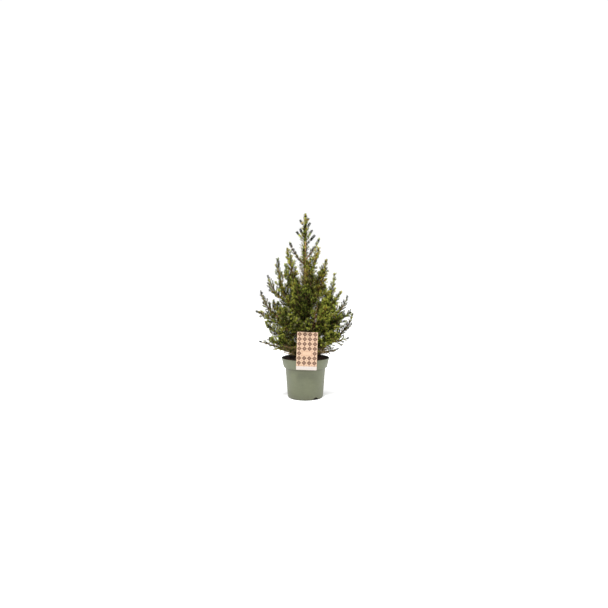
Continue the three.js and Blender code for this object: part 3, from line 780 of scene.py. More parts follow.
ticks = abs((x + TICK_PITCH / 2) % TICK_PITCH - TICK_PITCH / 2).below(2.1, 0.2)
ticks = ticks * abs(from_foot - FOOT_STRIP / 2).below(1.6, 0.2) * abs(x).below(22, 0.1)
print("pattern of", len(stock.tree.nodes), "nodes")

# %% [markdown]
# The inks go on one after another: the card's own peach, the pale foot, the panel, its lines, the ticks and
# last the brown of the diamonds. A hair of paper grain keeps it from looking like a screen.

# %% The label's inks
grain = stock.noise(900, 4)
peach = stock.ramp(grain, (0.3, "a2876f"), (0.7, "ab9179"))
pale = stock.mix(foot, peach, "a69d95")
blank = stock.mix(panel.below(0, 0.1) * 0.3, pale, "ae9880")
lined = stock.mix((frame_line + foot_line).least(1) * 0.8, blank, "8f5d40")
marked = stock.mix(ticks * 0.55, lined, "8c8f9c")
stock.colour(stock.mix(ink.least(1) * (0.82 + grain * 0.2), marked, "47291c"))
stock.rough(0.5 + grain * 0.2)
stock.bump(grain, 0.00008, 0.6)
hand_over(card, stock, "label", "label")
back_stock = Finish("plain card", Specular_IOR_Level=0.3)
fibre = back_stock.noise(700, 4)
back_stock.colour(back_stock.ramp(fibre, (0.3, "e6c3a6"), (0.7, "f0d2b8")))
back_stock.rough(0.6 + fibre * 0.2)
back_stock.bump(fibre, 0.00008, 0.6)
hand_over(tongue, back_stock, "label", "label")

# %% [markdown]
# ## The plant's plan
# The trunk and its limbs are the ones of the construction, by the same rule. All lengths are millimetres.
# The trunk tapers from its flared foot and sways very slightly. Its upper part is the leader.

# %% The trunk's plan
TOTAL_HEIGHT = 650
TRUNK_TIP = 612
TRUNK_FOOT_RADIUS = 7.6
TRUNK_FLARE_RADIUS = 11.5
TRUNK_TIP_RADIUS = 1.1
TRUNK_SWAY = 2.2
LEADER_FROM = 506
print("trunk up to", TRUNK_TIP, "mm, leader up to", TOTAL_HEIGHT)

# %% [markdown]
# Each limb leaves the trunk's axis at a height, bends once and ends at its tip. The rows are azimuth in
# degrees, height on the trunk, how far the tip stands out, the tip's height and the length of the longest
# side shoots. Bend, rise and swing place the knee of the curve. A shoot of the leader is azimuth, height,
# reach and its tip's height.


# %% The limbs' plan
def plan(azimuth, start, reach, tip, shoot, bend=0.6, rise=0.34, swing=0):
    return {
        "azimuth": azimuth,
        "from": start,
        "reach": reach,
        "tip": tip,
        "shoot": shoot,
        "bend": bend,
        "rise": rise,
        "swing": swing,
        "run": math.hypot(reach, tip - start),
    }


BOUGHS = {
    "low_left": plan(178, 151, 160, 196, 24, 0.5, 0.5),
    "low_right": plan(2, 168, 151, 208, 26, 0.45, 0.6),
    "low_front_left": plan(216, 160, 148, 220, 38),
    "low_front_right": plan(322, 174, 140, 232, 42),
    "low_back_left": plan(148, 166, 172, 256, 36, 0.65, 0.35),
    "low_back": plan(84, 156, 158, 224, 40),
    "low_front": plan(276, 204, 106, 284, 34),
    "mid_left": plan(183, 198, 172, 305, 36, 0.5, 0.58),
    "mid_right": plan(356, 208, 158, 301, 38, 0.5, 0.45),
    "mid_front_left": plan(236, 218, 140, 322, 44),
    "mid_front_right": plan(308, 226, 140, 330, 44),
    "mid_back_right": plan(50, 194, 158, 306, 44),
    "mid_back": plan(102, 212, 160, 322, 44),
    "mid_back_left": plan(138, 230, 158, 332, 44),
    "high_left": plan(177, 290, 97, 490, 34, 0.95, 0.15),
    "high_front_left": plan(226, 302, 88, 522, 30, 0.62, 0.4),
    "high_front_right": plan(306, 328, 76, 520, 32, 0.5, swing=-38),
    "high_right": plan(342, 304, 76, 482, 34, 0.7, 0.3),
    "high_back": plan(84, 314, 80, 478, 36, 0.7, 0.3),
}
SHOOTS = {
    "low_back_right": plan(20, 150, 122, 164, 24, 0.6, 0.1),
    "spire_left": plan(188, 242, 156, 372, 24, 0.8, 0.2),
    "spire_far_left": plan(168, 316, 137, 428, 18, 0.85, 0.2),
    "spire_right": plan(14, 246, 155, 353, 20, 0.8, 0.2),
    "spire_low_right": plan(12, 186, 174, 292, 20, 0.85, 0.05),
    "spire_upper_right": plan(10, 284, 104, 438, 28, 0.9, 0.15),
    "spire_front_right": plan(334, 266, 135, 374, 32),
    "spire_front": plan(248, 274, 92, 418, 34),
    "inner_front": plan(290, 288, 62, 430, 34),
    "high_front": plan(270, 256, 100, 386, 42),
    "high_back_left": plan(139, 330, 92, 462, 34, 0.75, 0.25),
    "spire_back": plan(112, 282, 100, 414, 34),
    "high_back_right": plan(42, 334, 80, 452, 32),
    "top_left": plan(176, 468, 53, 541, 15),
    "top_right": plan(352, 486, 46, 554, 15),
    "top_back": plan(90, 476, 44, 545, 16),
    "top_front": plan(262, 462, 34, 520, 15),
}
LEADER_SHOOTS = [
    (182, 548, 30, 578),
    (4, 552, 22, 583),
    (34, 536, 38, 566),
    (132, 556, 27, 589),
    (262, 560, 25, 592),
    (190, 597, 18, 619),
    (350, 588, 16, 610),
    (80, 600, 15, 622),
    (15, 612, 11, 627),
]
print(len(BOUGHS), "boughs,", len(SHOOTS), "lesser limbs")

# %% [markdown]
# ## Lines and distances
# A limb's line is a quadratic curve from the trunk to its tip, and the limb tapers along it. The leader's
# line is the upper part of the trunk's own axis.

# %% Lines
UP = np.array([0.0, 0, 1])
RIGHT = np.array([1.0, 0, 0])
GOLDEN_TURN = 137.5
SAMPLES = 32
LIMB_GIRTH = 0.02  # the foot's radius as a share of the run
LIMB_LEAST_FOOT = 2.2
LIMB_TIP = 1.1


def trunk_axis(height):
    height = np.asarray(height, float)
    share = (height - SOIL_TOP) / (TRUNK_TIP - SOIL_TOP)
    fade = TRUNK_SWAY * np.sin(np.pi * np.clip(share, 0, 1))
    return np.stack([fade * np.sin(7 * share), fade * np.cos(5 * share), height], -1)


def trunk_radius(height):
    above = np.asarray(height, float) - SOIL_TOP
    share = np.clip(above / (TRUNK_TIP - SOIL_TOP), 0, 1)
    flare = (TRUNK_FLARE_RADIUS - TRUNK_FOOT_RADIUS) * np.exp(-above / 8)
    return between(TRUNK_FOOT_RADIUS, TRUNK_TIP_RADIUS, share) + flare


def outwards(azimuth):
    return np.array([math.cos(math.radians(azimuth)), math.sin(math.radians(azimuth)), 0])


def limb_line(p):
    start = trunk_axis(p["from"])
    knee = start + outwards(p["azimuth"] + p["swing"]) * p["reach"] * p["bend"]
    knee[2] = between(p["from"], p["tip"], p["rise"])
    tip = outwards(p["azimuth"]) * p["reach"] + UP * p["tip"]

    def line(share):
        t = np.asarray(share, float)[..., None]
        return start * (1 - t) ** 2 + knee * 2 * t * (1 - t) + tip * t**2

    return line


def limb_radius(p, share):
    return between(max(LIMB_LEAST_FOOT, p["run"] * LIMB_GIRTH), LIMB_TIP, np.asarray(share, float) ** 0.8)


def frame_at(line, share, hint):
    """The line's direction at each share, and two directions across it."""
    share = np.atleast_1d(np.asarray(share, float))
    along = unit(line(np.minimum(1, share + 0.01)) - line(np.maximum(0, share - 0.01)))
    across = unit(hint - along * (along @ hint)[:, None])
    return along, across, np.cross(along, across)


limbs = []
for name, p in {**BOUGHS, **SHOOTS}.items():
    limbs.append({"name": name, "plan": p, "line": limb_line(p), "hint": outwards(p["azimuth"] + 90)})
limbs.append(
    {
        "name": "leader",
        "plan": None,
        "line": lambda share: trunk_axis(between(LEADER_FROM, TOTAL_HEIGHT, np.asarray(share, float))),
        "hint": RIGHT,
    }
)
LEADER = len(limbs) - 1
for limb in limbs:
    limb["samples"] = limb["line"](np.linspace(0, 1, SAMPLES + 1))
print("lines", len(limbs))

# %% [markdown]
# Foliage belongs to the limb whose line is nearest, and it keeps off the trunk, the pot's lip, the soil and
# the label, so that neighbours share out the crown and only mingle at their edges. A narrow gap is left in
# front of one bare stem, which shows there.

# %% Distances
CLEARANCE_OF_MASS = 1.2
LIP_INSIDE = 9  # how far on both sides of the lip foliage has to stay above it
LIP_OUTSIDE = 6
ABOVE_POT = 4
ROUND_LABEL = 5
LABEL_ZONE = 8
STEM_FOOT = np.array([25.0, -34, 248])
STEM_TIP = np.array([42.0, -56, 328])
STEM_GAP = 5
STEM_SHOWS = (0.05, 0.72)
STEM_BEFORE = -12


def distances(points):
    """How near each point comes to each limb's line."""
    least = np.empty((len(points), len(limbs)))
    for column, limb in enumerate(limbs):
        start = limb["samples"][:-1]
        step = np.diff(limb["samples"], axis=0)
        away = points[:, None] - start
        share = np.clip((away * step).sum(-1) / (step * step).sum(-1), 0, 1)
        least[:, column] = np.linalg.norm(away - share[..., None] * step, axis=-1).min(1)
    return least


def off_trunk(points):
    height = points[:, 2]
    gap = np.linalg.norm(points - trunk_axis(height), axis=1) - trunk_radius(height)
    return np.where(height > TRUNK_TIP + TRUNK_TIP_RADIUS, np.inf, gap)


def before_stem(points):
    """Whether points stand in the narrow gap in front of the bare stem."""
    x, y, z = points.T
    share = (z - STEM_FOOT[2]) / (STEM_TIP[2] - STEM_FOOT[2])
    beside = abs(x - between(STEM_FOOT[0], STEM_TIP[0], share))
    return (beside < STEM_GAP) & (y < STEM_BEFORE) & (share > STEM_SHOWS[0]) & (share < STEM_SHOWS[1])


def off_pot(points, spare=0.0):
    """Whether points are clear of the soil, the pot's lip, the label and the gap in front."""
    x, y, z = points.T
    radius = np.hypot(x, y)
    lip = LIP_RADIUS / MM
    over_lip = (radius > lip - LIP_INSIDE) & (radius < lip + LIP_OUTSIDE)
    lowest = np.where(over_lip, LIP_HEIGHT / MM, SOIL_TOP) + ABOVE_POT
    near_label = (abs(x - LABEL_SHIFT) < LABEL_WIDTH / 2 + ROUND_LABEL) & (y < LABEL_ZONE - lip)
    lowest = np.where(near_label, LABEL_FOOT + LABEL_HEIGHT + ROUND_LABEL, lowest)
    return (z > lowest - spare) & ~before_stem(points)


def is_clear(owner, points, slack=0.0):
    """Whether points are clear of everything, and nearest to their own limb to within the slack."""
    clear = off_pot(points) & (off_trunk(points) >= CLEARANCE_OF_MASS)
    found = np.flatnonzero(clear)
    if len(found):
        away = distances(points[found])
        rows = np.arange(len(found))
        mine = away[rows, owner[found]] + 2 * CLEARANCE_OF_MASS - slack
        away[rows, owner[found]] = np.inf
        clear[found] = (away > mine[:, None]).all(1)
    return clear


print("gap of", round(float(np.linalg.norm(STEM_TIP - STEM_FOOT))), "mm in front")

# %% [markdown]
# ## Side shoots by the source's rule
# The construction draws its side shoots from one seeded row of numbers for each limb. The same rule is
# written here again with the same draws, so the shoots that give the crown its outline stand where the
# plain solids have them.


# %% Draws and twigs
def seeded(seed):
    """The same numbers in the same order for the same seed."""
    state = seed
    mask = 0xFFFFFFFF

    def draw():
        nonlocal state
        state = (state + 0x6D2B79F5) & mask
        t = ((state ^ (state >> 15)) * (state | 1)) & mask
        t ^= (t + ((t ^ (t >> 7)) * (t | 61))) & mask
        return (t ^ (t >> 14)) / 2**32

    return draw


twigs = []


def add_twigs(owner, start, direction, length, radius, order, parent=None):
    """Keeps a group of twigs. The arrays hold one row for each twig."""
    count = len(start)
    twigs.append(
        {
            "owner": np.broadcast_to(owner, count),
            "start": start,
            "direction": direction,
            "length": length,
            "radius": np.broadcast_to(radius, count),
            "order": np.full(count, order),
            "parent": np.full(count, -1) if parent is None else parent,
        }
    )


def around(across, outward, turn):
    """The directions at each turn round a stem, from the two directions across it."""
    return across * np.cos(turn)[:, None] + outward * np.sin(turn)[:, None]


def leaving(along, side, spread, lift):
    """The directions of shoots that leave their stem towards a side, with a pull upwards."""
    return unit(along * np.cos(spread) + side * np.sin(spread) + UP * lift)


print("first draw", round(seeded(1)(), 4))

# %% [markdown]
# Twigs have an order, which says what they are: 2 is a side shoot of a limb, 3 a twig on a side shoot, and
# the others are a limb's own tip, the bare stem in front and the leader's longer shoots. A side shoot that
# would leave its limb's space is tried shorter, and then left out.

# %% Side shoots by the source's rule
SHOOT_ORDER = 2
TWIG_ORDER = 3
END_ORDER = 4
STEM_ORDER = 5
ROPE_ORDER = 6
BARE = 0.24
SHOOT_PITCH = 25
SHOOT_SPREAD = 44
SHOOT_TRIALS = (1, 0.8, 0.62, 0.48)
SHORTEST_SHOOT = 14
for owner, limb in enumerate(limbs[:LEADER]):
    p, line, hint = limb["plan"], limb["line"], limb["hint"]
    draw = seeded(owner + 1)
    is_bough = limb["name"] in BOUGHS
    draw()  # the source turns its own stem with this number
    turn = draw() * 360
    first = BARE + 0.04 if is_bough else 18 / p["run"]
    last = 1 - 0.4 * p["shoot"] / p["run"]
    count = int(p["run"] * (last - first) / SHOOT_PITCH + 0.5)
    limb["first"] = first
    starts, directions, lengths, radii = [], [], [], []
    for i in range(count):
        share = between(first, last, (i + 0.5) / count)
        turn += GOLDEN_TURN
        along, across, outward = (v[0] for v in frame_at(line, share, hint))
        spread = math.radians(SHOOT_SPREAD + (draw() - 0.5) * 12)
        side = across * math.cos(math.radians(turn)) + outward * math.sin(math.radians(turn))
        direction = leaving(along, side, spread, 0.25)
        wanted = p["shoot"] * min(max((1 - share) * 2.4, 0.5), 1) * (0.85 + 0.3 * draw())
        draw()  # and turns each shoot with this one
        start = line(share)
        for trial in SHOOT_TRIALS:
            tests = start + direction * wanted * trial * np.array([[0.6], [0.8], [1]])
            if is_clear(np.full(3, owner), tests).all():
                if wanted * trial >= SHORTEST_SHOOT:
                    starts.append(start)
                    directions.append(direction)
                    lengths.append(wanted * trial)
                    radii.append(float(limb_radius(p, share)) * 0.5)
                break
    if starts:
        rows = map(np.array, (starts, directions, lengths, radii))
        add_twigs(owner, *rows, SHOOT_ORDER)
print("shoots of the source", sum(len(group["start"]) for group in twigs))

# %% [markdown]
# ## Finer shoots and twigs
# A living limb carries a shoot every few millimetres. Between the source's shoots the rule goes on with
# smaller ones, and every shoot then carries twigs of its own. They are placed for all limbs at once with
# arrays, and each is kept only as long as its tip stays in its limb's space, or a little way past it.

# %% Room for a twig
growth = np.random.default_rng(11)
MINGLING = 22


def keep_clear(owner, start, direction, length, shortest, tries=(1, 0.75, 0.55, 0.4)):
    """Shortens each twig to the first trial whose tip is clear, and tells which are long enough."""
    kept = np.zeros(len(start))
    for trial in tries:
        open_rows = np.flatnonzero(kept == 0)
        if not len(open_rows):
            break
        tips = start[open_rows] + direction[open_rows] * (length[open_rows] * trial)[:, None]
        fine = is_clear(owner[open_rows], tips, MINGLING)
        kept[open_rows[fine]] = length[open_rows[fine]] * trial
    return kept, kept >= shortest


print("twigs may mingle by", MINGLING, "mm")

# %% [markdown]
# The fine shoots shorten towards the limb's tip. Some limbs differ, as the real ones do: the low ones grew
# longer shoots, and the ones beside the leader hardly any.

# %% Finer shoots
FINE_PITCH = 3.8
FINE_FIRST = 16
FINE_LAST = 0.985
USUAL_LONGEST = 32
LONGEST = {
    "top_left": 15,
    "top_right": 14,
    "top_back": 16,
    "top_front": 15,
    "high_front_right": 40,
    "mid_right": 46,
    "mid_left": 38,
    "spire_left": 40,
    "spire_far_left": 34,
    "low_front_left": 42,
    "low_right": 42,
}
NARROWEST = {"high_front_right": 0.46, "high_right": 0.5}
HIGH_NARROWEST = 0.42
owners, starts, directions, lengths, radii = [], [], [], [], []
for owner, limb in enumerate(limbs[:LEADER]):
    p = limb["plan"]
    first = FINE_FIRST / p["run"]
    count = int(p["run"] * (FINE_LAST - first) / FINE_PITCH)
    share = first + (FINE_LAST - first) * (np.arange(count) + growth.uniform(0, 1, count)) / count
    along, across, outward = frame_at(limb["line"], share, limb["hint"])
    turn = np.radians(np.arange(count) * GOLDEN_TURN + growth.uniform(0, 360) + growth.normal(0, 20, count))
    spread = np.radians(growth.normal(46, 8, count))[:, None]
    direction = leaving(along, around(across, outward, turn), spread, 0.3)
    fade = np.clip((1 - share) * 2.2 + 0.16, 0.28, 1)
    if limb["name"].startswith("high"):
        fade = np.clip((1 - share) * 2.8 + 0.26, NARROWEST.get(limb["name"], HIGH_NARROWEST), 1)
    owners.append(np.full(count, owner))
    starts.append(limb["line"](share))
    directions.append(direction)
    longest = LONGEST.get(limb["name"], max(p["shoot"], USUAL_LONGEST))
    lengths.append(longest * fade * growth.uniform(0.5, 1.0, count))
    radii.append(limb_radius(p, share) * 0.34)
rows = (owners, starts, directions, lengths, radii)
owners, starts, directions, lengths, radii = map(np.concatenate, rows)
lengths, fine = keep_clear(owners, starts, directions, lengths, 7)
add_twigs(owners[fine], starts[fine], directions[fine], lengths[fine], radii[fine], SHOOT_ORDER)
print("fine shoots", int(fine.sum()))

# %% [markdown]
# Each limb ends in one short twig that goes straight on.

# %% Ends of the limbs
END_LENGTH = 8.5
ends = np.array([limb["line"](0.96) for limb in limbs[:LEADER]])
onward = unit(np.array([limb["line"](1.0) for limb in limbs[:LEADER]]) - ends)
add_twigs(np.arange(LEADER), ends, onward, np.full(LEADER, END_LENGTH), 1.0, END_ORDER)
print("ends", len(ends))

# %% [markdown]
# Low at the trunk, where no light comes, the shoots have withered: their needles are few and brown. In
# front, right of the middle, one bare stem shows in a narrow gap.

# %% Withered shoots and the bare stem
WITHERED_COUNT = 120
WITHERED_FROM = (147, 175)
WITHERED_LENGTH = (40, 88)
WITHERED_RISE = (0, 12)
WITHERED_RADIUS = 0.8
LONGER_AT_LEFT = 1.28
AT_LEFT = -0.55
STEM_RADIUS = 2.0
heights = growth.uniform(*WITHERED_FROM, WITHERED_COUNT)
rise = np.radians(growth.uniform(*WITHERED_RISE, WITHERED_COUNT))[:, None]
outward = np.array([outwards(i * GOLDEN_TURN) for i in range(WITHERED_COUNT)])
direction = outward * np.cos(rise) + UP * np.sin(rise)
length = growth.uniform(*WITHERED_LENGTH, WITHERED_COUNT)
length = length * np.where(outward[:, 0] < AT_LEFT, LONGER_AT_LEFT, 1)
nearest = [limb["name"] for limb in limbs].index("low_front")
add_twigs(nearest, trunk_axis(heights), direction, length, WITHERED_RADIUS, SHOOT_ORDER)
stem = STEM_TIP - STEM_FOOT
stem_length = np.linalg.norm(stem)
stem_row = (STEM_FOOT[None], stem[None] / stem_length, np.array([stem_length]))
add_twigs(nearest, *stem_row, STEM_RADIUS, STEM_ORDER)
print("bare stem", round(stem_length), "mm")

# %% [markdown]
# The leader is clothed like a bottle brush. Its longer shoots stand where the construction has them.

# %% The leader's longer shoots
ROPE_RADIUS = 1.1
starts, directions, lengths = [], [], []
for azimuth, start_height, reach, tip in LEADER_SHOOTS:
    start = trunk_axis(start_height)
    line = outwards(azimuth) * reach + UP * tip - start
    starts.append(start)
    directions.append(unit(line))
    lengths.append(np.linalg.norm(line))
add_twigs(LEADER, *map(np.array, (starts, directions, lengths)), ROPE_RADIUS, ROPE_ORDER)
print("longer shoots on the leader", len(starts))

# %% [markdown]
# Short shoots go round the trunk from the middle of the crown to the tip, shorter towards the top. On one
# side the old wood shows, because its needles have dropped there.

# %% The leader's brush
BARE_SIDE = 300  # degrees
BARE_HALF_WIDTH = 48
BARE_FOOT = 440
BARE_TOP = 548
BRUSH_COUNT = 190
BRUSH_FOOT = 300
BRUSH_TOP = 12  # below the tip
BRUSH_LENGTHS = ((300, 36), (430, 36), (500, 22), (600, 14), (640, 8))
BRUSH_RADIUS = 0.75


def on_bare_side(azimuth, height):
    """Whether the trunk's old wood shows at these places."""
    turned = np.abs((np.asarray(azimuth) - BARE_SIDE + 180) % 360 - 180)
    return (turned < BARE_HALF_WIDTH) & (height > BARE_FOOT) & (height < BARE_TOP)


starts, directions, lengths = [], [], []
for i in range(BRUSH_COUNT):
    share = (i + growth.uniform(0, 1)) / BRUSH_COUNT
    start_height = between(BRUSH_FOOT, TOTAL_HEIGHT - BRUSH_TOP, share)
    spread = math.radians(growth.normal(40, 5))
    azimuth = i * GOLDEN_TURN + growth.normal(0, 14)
    if on_bare_side(azimuth, start_height):
        continue
    starts.append(trunk_axis(start_height))
    directions.append(outwards(azimuth) * math.sin(spread) + UP * math.cos(spread))
    lengths.append(np.interp(start_height, *zip(*BRUSH_LENGTHS)) * growth.uniform(0.75, 1.15))
add_twigs(LEADER, *map(np.array, (starts, directions, lengths)), BRUSH_RADIUS, SHOOT_ORDER)
print("short shoots on the leader", len(starts))

# %% [markdown]
# Light is what makes a spruce fill its gaps: a shoot lives where it finds open space. Places are drawn
# round the limbs. Only the heart of the crown is closed like this, as (height, radius) pairs say, and a
# little more of it at the right; outside it the plumes stand free.

# %% Places for more shoots
GAP_TRIALS = 16000
GAP_REACH = (12, 40)
SHORTEST_REACH = 9
REACH_AT_TIP = 0.3
FULLER_AT_RIGHT = 1.22
AT_RIGHT = 60
LOWER_CROWN = ((140, 50), (175, 78), (200, 95), (250, 104), (310, 100))
UPPER_CROWN = ((360, 82), (410, 56), (460, 34), (500, 14))
owner = growth.integers(0, LEADER, GAP_TRIALS)
share = growth.uniform(0.1, 0.97, GAP_TRIALS)
away = growth.uniform(*GAP_REACH, GAP_TRIALS) * np.clip((1 - share) * 2 + REACH_AT_TIP, REACH_AT_TIP, 1)
turn = growth.uniform(0, 2 * math.pi, GAP_TRIALS)
start = np.empty((GAP_TRIALS, 3))
goal = np.empty((GAP_TRIALS, 3))
for index, limb in enumerate(limbs[:LEADER]):
    rows = np.flatnonzero(owner == index)
    along, across, outward = frame_at(limb["line"], share[rows], limb["hint"])
    side = around(across, outward, turn[rows])
    goal[rows] = limb["line"](share[rows]) + side * away[rows][:, None]
    root = np.maximum(share[rows] - away[rows] * 0.9 / limb["plan"]["run"], 0.02)
    start[rows] = limb["line"](root)
line = goal - start
length = np.linalg.norm(line, axis=1)
direction = line / length[:, None]
heart = np.interp(goal[:, 2], *zip(*LOWER_CROWN, *UPPER_CROWN), right=0)
heart = heart * np.where(goal[:, 0] > AT_RIGHT, FULLER_AT_RIGHT, 1)
in_crown = np.hypot(goal[:, 0], goal[:, 1]) < heart
fine = in_crown & is_clear(owner, goal, MINGLING) & (length > SHORTEST_REACH)
print("places in the crown", int(fine.sum()))

# %% [markdown]
# Where no twig comes near such a place, a shoot is grown towards it from its limb. A grid of cells
# remembers what is taken.

# %% Shoots into the gaps
CELL = 11
GAP_RADIUS = 0.9


def taken_cells(points):
    return set(map(tuple, np.floor(points / CELL).astype(int)))


def along_twigs(start, direction, length):
    """Points at a few places along straight twigs."""
    shares = np.array([0.35, 0.55, 0.75, 1.0])[:, None, None]
    return (start + direction * length[:, None] * shares).reshape(-1, 3)


taken = set()
for group in twigs:
    taken |= taken_cells(along_twigs(group["start"], group["direction"], group["length"]))
chosen = []
for row in np.flatnonzero(fine):
    one = slice(row, row + 1)
    cells = taken_cells(along_twigs(start[one], direction[one], length[one])[1:])
    if not cells & taken:
        taken |= cells
        chosen.append(row)
add_twigs(owner[chosen], start[chosen], direction[chosen], length[chosen], GAP_RADIUS, SHOOT_ORDER)
print("shoots into gaps", len(chosen))

# %% [markdown]
# Third-order twigs: each shoot carries a few, in alternate turns round it, shorter towards its tip.

# %% Third-order twigs
TWIG_PITCH = 6.2
TWIG_RADIUS = 0.42
SHORTEST_BEARER = 13
TWIG_LENGTHS = (6, 17)


def joined(key):
    return np.concatenate([group[key] for group in twigs])


shoot = {key: joined(key) for key in twigs[0]}
bearing = (shoot["length"] > SHORTEST_BEARER) & (shoot["order"] == SHOOT_ORDER)
counts = np.where(bearing, ((shoot["length"] - 6) / TWIG_PITCH).astype(int), 0)
parent = np.repeat(np.arange(len(counts)), counts)
place = np.arange(counts.sum()) - np.repeat(np.cumsum(counts) - counts, counts)
share = 0.22 + 0.7 * (place + growth.uniform(0.1, 0.9, len(place))) / counts[parent]
along = shoot["direction"][parent]
across = unit(np.cross(along, UP + 0.01))
outward = np.cross(along, across)
turn = np.radians(place * GOLDEN_TURN + shoot["length"][parent] * 50 + growth.normal(0, 15, len(place)))
spread = np.radians(growth.normal(43, 7, len(place)))[:, None]
direction = leaving(along, around(across, outward, turn), spread, 0.22)
bearer = shoot["length"][parent]
start = shoot["start"][parent] + along * (bearer * share)[:, None]
length = np.clip(bearer * (1 - share) * 0.62 + 5, *TWIG_LENGTHS) * growth.uniform(0.75, 1.15, len(place))
owner = shoot["owner"][parent]
length, fine = keep_clear(owner, start, direction, length, 5, (1, 0.7))
rows = (owner[fine], start[fine], direction[fine], length[fine])
add_twigs(*rows, TWIG_RADIUS, TWIG_ORDER, parent[fine])
twig = {key: joined(key) for key in twigs[0]}
print("twigs", len(twig["start"]), "metres", round(float(twig["length"].sum()) * MM, 1))

# %% [markdown]
# ## Colours by spray
# A spray takes one of seven needle colours, and one in ten of its twigs follows it. Each limb leans to some
# of them: the leader and the plumes beside it are golden olive, the middle is mid green with a bluish sheen
# here and there, and the inside and the back are deep green; on the inside this deep green is painted
# shade, by the palette named shade. The colours are plain, one finish for each. A palette says how much of
# each tone it holds, in the order of the tones.

# %% Palettes
TONES = ("deep", "mid", "fresh", "olive", "lime", "frost", "dry")
PALETTES = {
    "golden": (0.2, 0.04, 0.16, 0.5, 0.09, 0.01, 0.0),
    "olive": (0.33, 0.08, 0.21, 0.26, 0.07, 0.04, 0.01),
    "bright": (0.33, 0.04, 0.42, 0.08, 0.11, 0.02, 0.0),
    "green": (0.47, 0.07, 0.35, 0.03, 0.04, 0.04, 0.0),
    "cool": (0.5, 0.06, 0.28, 0.0, 0.03, 0.13, 0.0),
    "dull": (0.37, 0.08, 0.2, 0.18, 0.04, 0.1, 0.03),
    # painted shade: the palette for limbs inside the crown
    "shade": (0.67, 0.08, 0.13, 0.0, 0.05, 0.07, 0.0),
}
LIMB_PALETTES = {
    "leader": "olive",
    "high_front_left": "golden",
    "high_front_right": "golden",
    "high_right": "golden",
    "high_left": "olive",
    "high_front": "shade",
    "inner_front": "shade",
    "spire_front": "bright",
    "spire_far_left": "dull",
    "spire_left": "dull",
    "spire_right": "dull",
    "spire_low_right": "dull",
    "spire_upper_right": "bright",
    "spire_front_right": "bright",
    "low_left": "dull",
    "low_right": "dull",
    "low_back_right": "dull",
    "low_front_right": "bright",
    "low_front": "cool",
    "mid_front_left": "cool",
    "mid_left": "olive",
    "mid_right": "green",
    "mid_front_right": "bright",
    "top_left": "shade",
    "top_right": "green",
    "top_front": "olive",
}
palettes = np.array([PALETTES[LIMB_PALETTES.get(limb["name"], "green")] for limb in limbs])
print("palettes", len(PALETTES), "for", len(palettes), "limbs")

# %% [markdown]
# As painted shade, sprays near the trunk lean to the deep green, and so do those in the hollow between the
# front plumes. Low down at the trunk most needles are dry and brown.

# %% Colours by spray
CROWN_SLOPE = 0.42  # the crown's radius for each millimetre below the tip
OPEN_ABOVE = 450
SHADE_TO_DEEP = 1.4
HOLLOW_SHIFT = -8
HOLLOW_HALF_WIDTH = 14
HOLLOW_FOOT = 300
HOLLOW_TOP = 415
WITHERED_BELOW = 178
WITHERED_WITHIN = 90
WITHERED_SHARES = (0.85, 0.2)
FOLLOWERS = 0.1
dealt = np.random.default_rng(23)


def deal(owner, inner):
    """A tone for each spray. Sprays near the trunk lean to the deep green, as painted shade."""
    weights = palettes[owner].copy()
    weights[:, 0] += inner * SHADE_TO_DEEP
    weights /= weights.sum(1, keepdims=True)
    return (dealt.uniform(size=(len(owner), 1)) > np.cumsum(weights, 1)[:, :-1]).sum(1)


middle = twig["start"] + twig["direction"] * twig["length"][:, None] / 2
from_axis = np.hypot(middle[:, 0], middle[:, 1])
crown = np.clip((TOTAL_HEIGHT - middle[:, 2]) * CROWN_SLOPE, 20, 150)
openness = np.clip(from_axis / crown * 1.5 - 0.1, 0, 1)
# painted shade: below OPEN_ABOVE, sprays near the trunk lean to the deep green
shaded = np.clip(1.1 - 2.2 * from_axis / crown, 0, 1) * (middle[:, 2] < OPEN_ABOVE)
# painted shade: the hollow between the front plumes leans to the deep green
in_hollow = (middle[:, 1] < 0) & (middle[:, 2] > HOLLOW_FOOT) & (middle[:, 2] < HOLLOW_TOP)
shaded += in_hollow * np.clip(2 - np.abs(middle[:, 0] - HOLLOW_SHIFT) / HOLLOW_HALF_WIDTH, 0, 1) * 1.5
tone = deal(twig["owner"], shaded)
has_parent = twig["parent"] >= 0
follows = has_parent & (dealt.uniform(size=len(tone)) < FOLLOWERS)
tone[follows] = tone[twig["parent"][follows]]
withered = (middle[:, 2] < WITHERED_BELOW) & (from_axis < WITHERED_WITHIN)
brown_share = np.interp(from_axis, (WITHERED_WITHIN / 2, WITHERED_WITHIN), WITHERED_SHARES)
brown = dealt.uniform(size=len(tone)) < brown_share
tone[withered & brown] = TONES.index("dry")
print("sprays of each tone", dict(zip(TONES, np.bincount(tone, minlength=len(TONES)).tolist())))

# %% [markdown]
# ## Wood
# The trunk is one ring, extruded up the axis step by step and narrowed as it goes, with its foot flared.
# Displacement then raises the flaky bark.

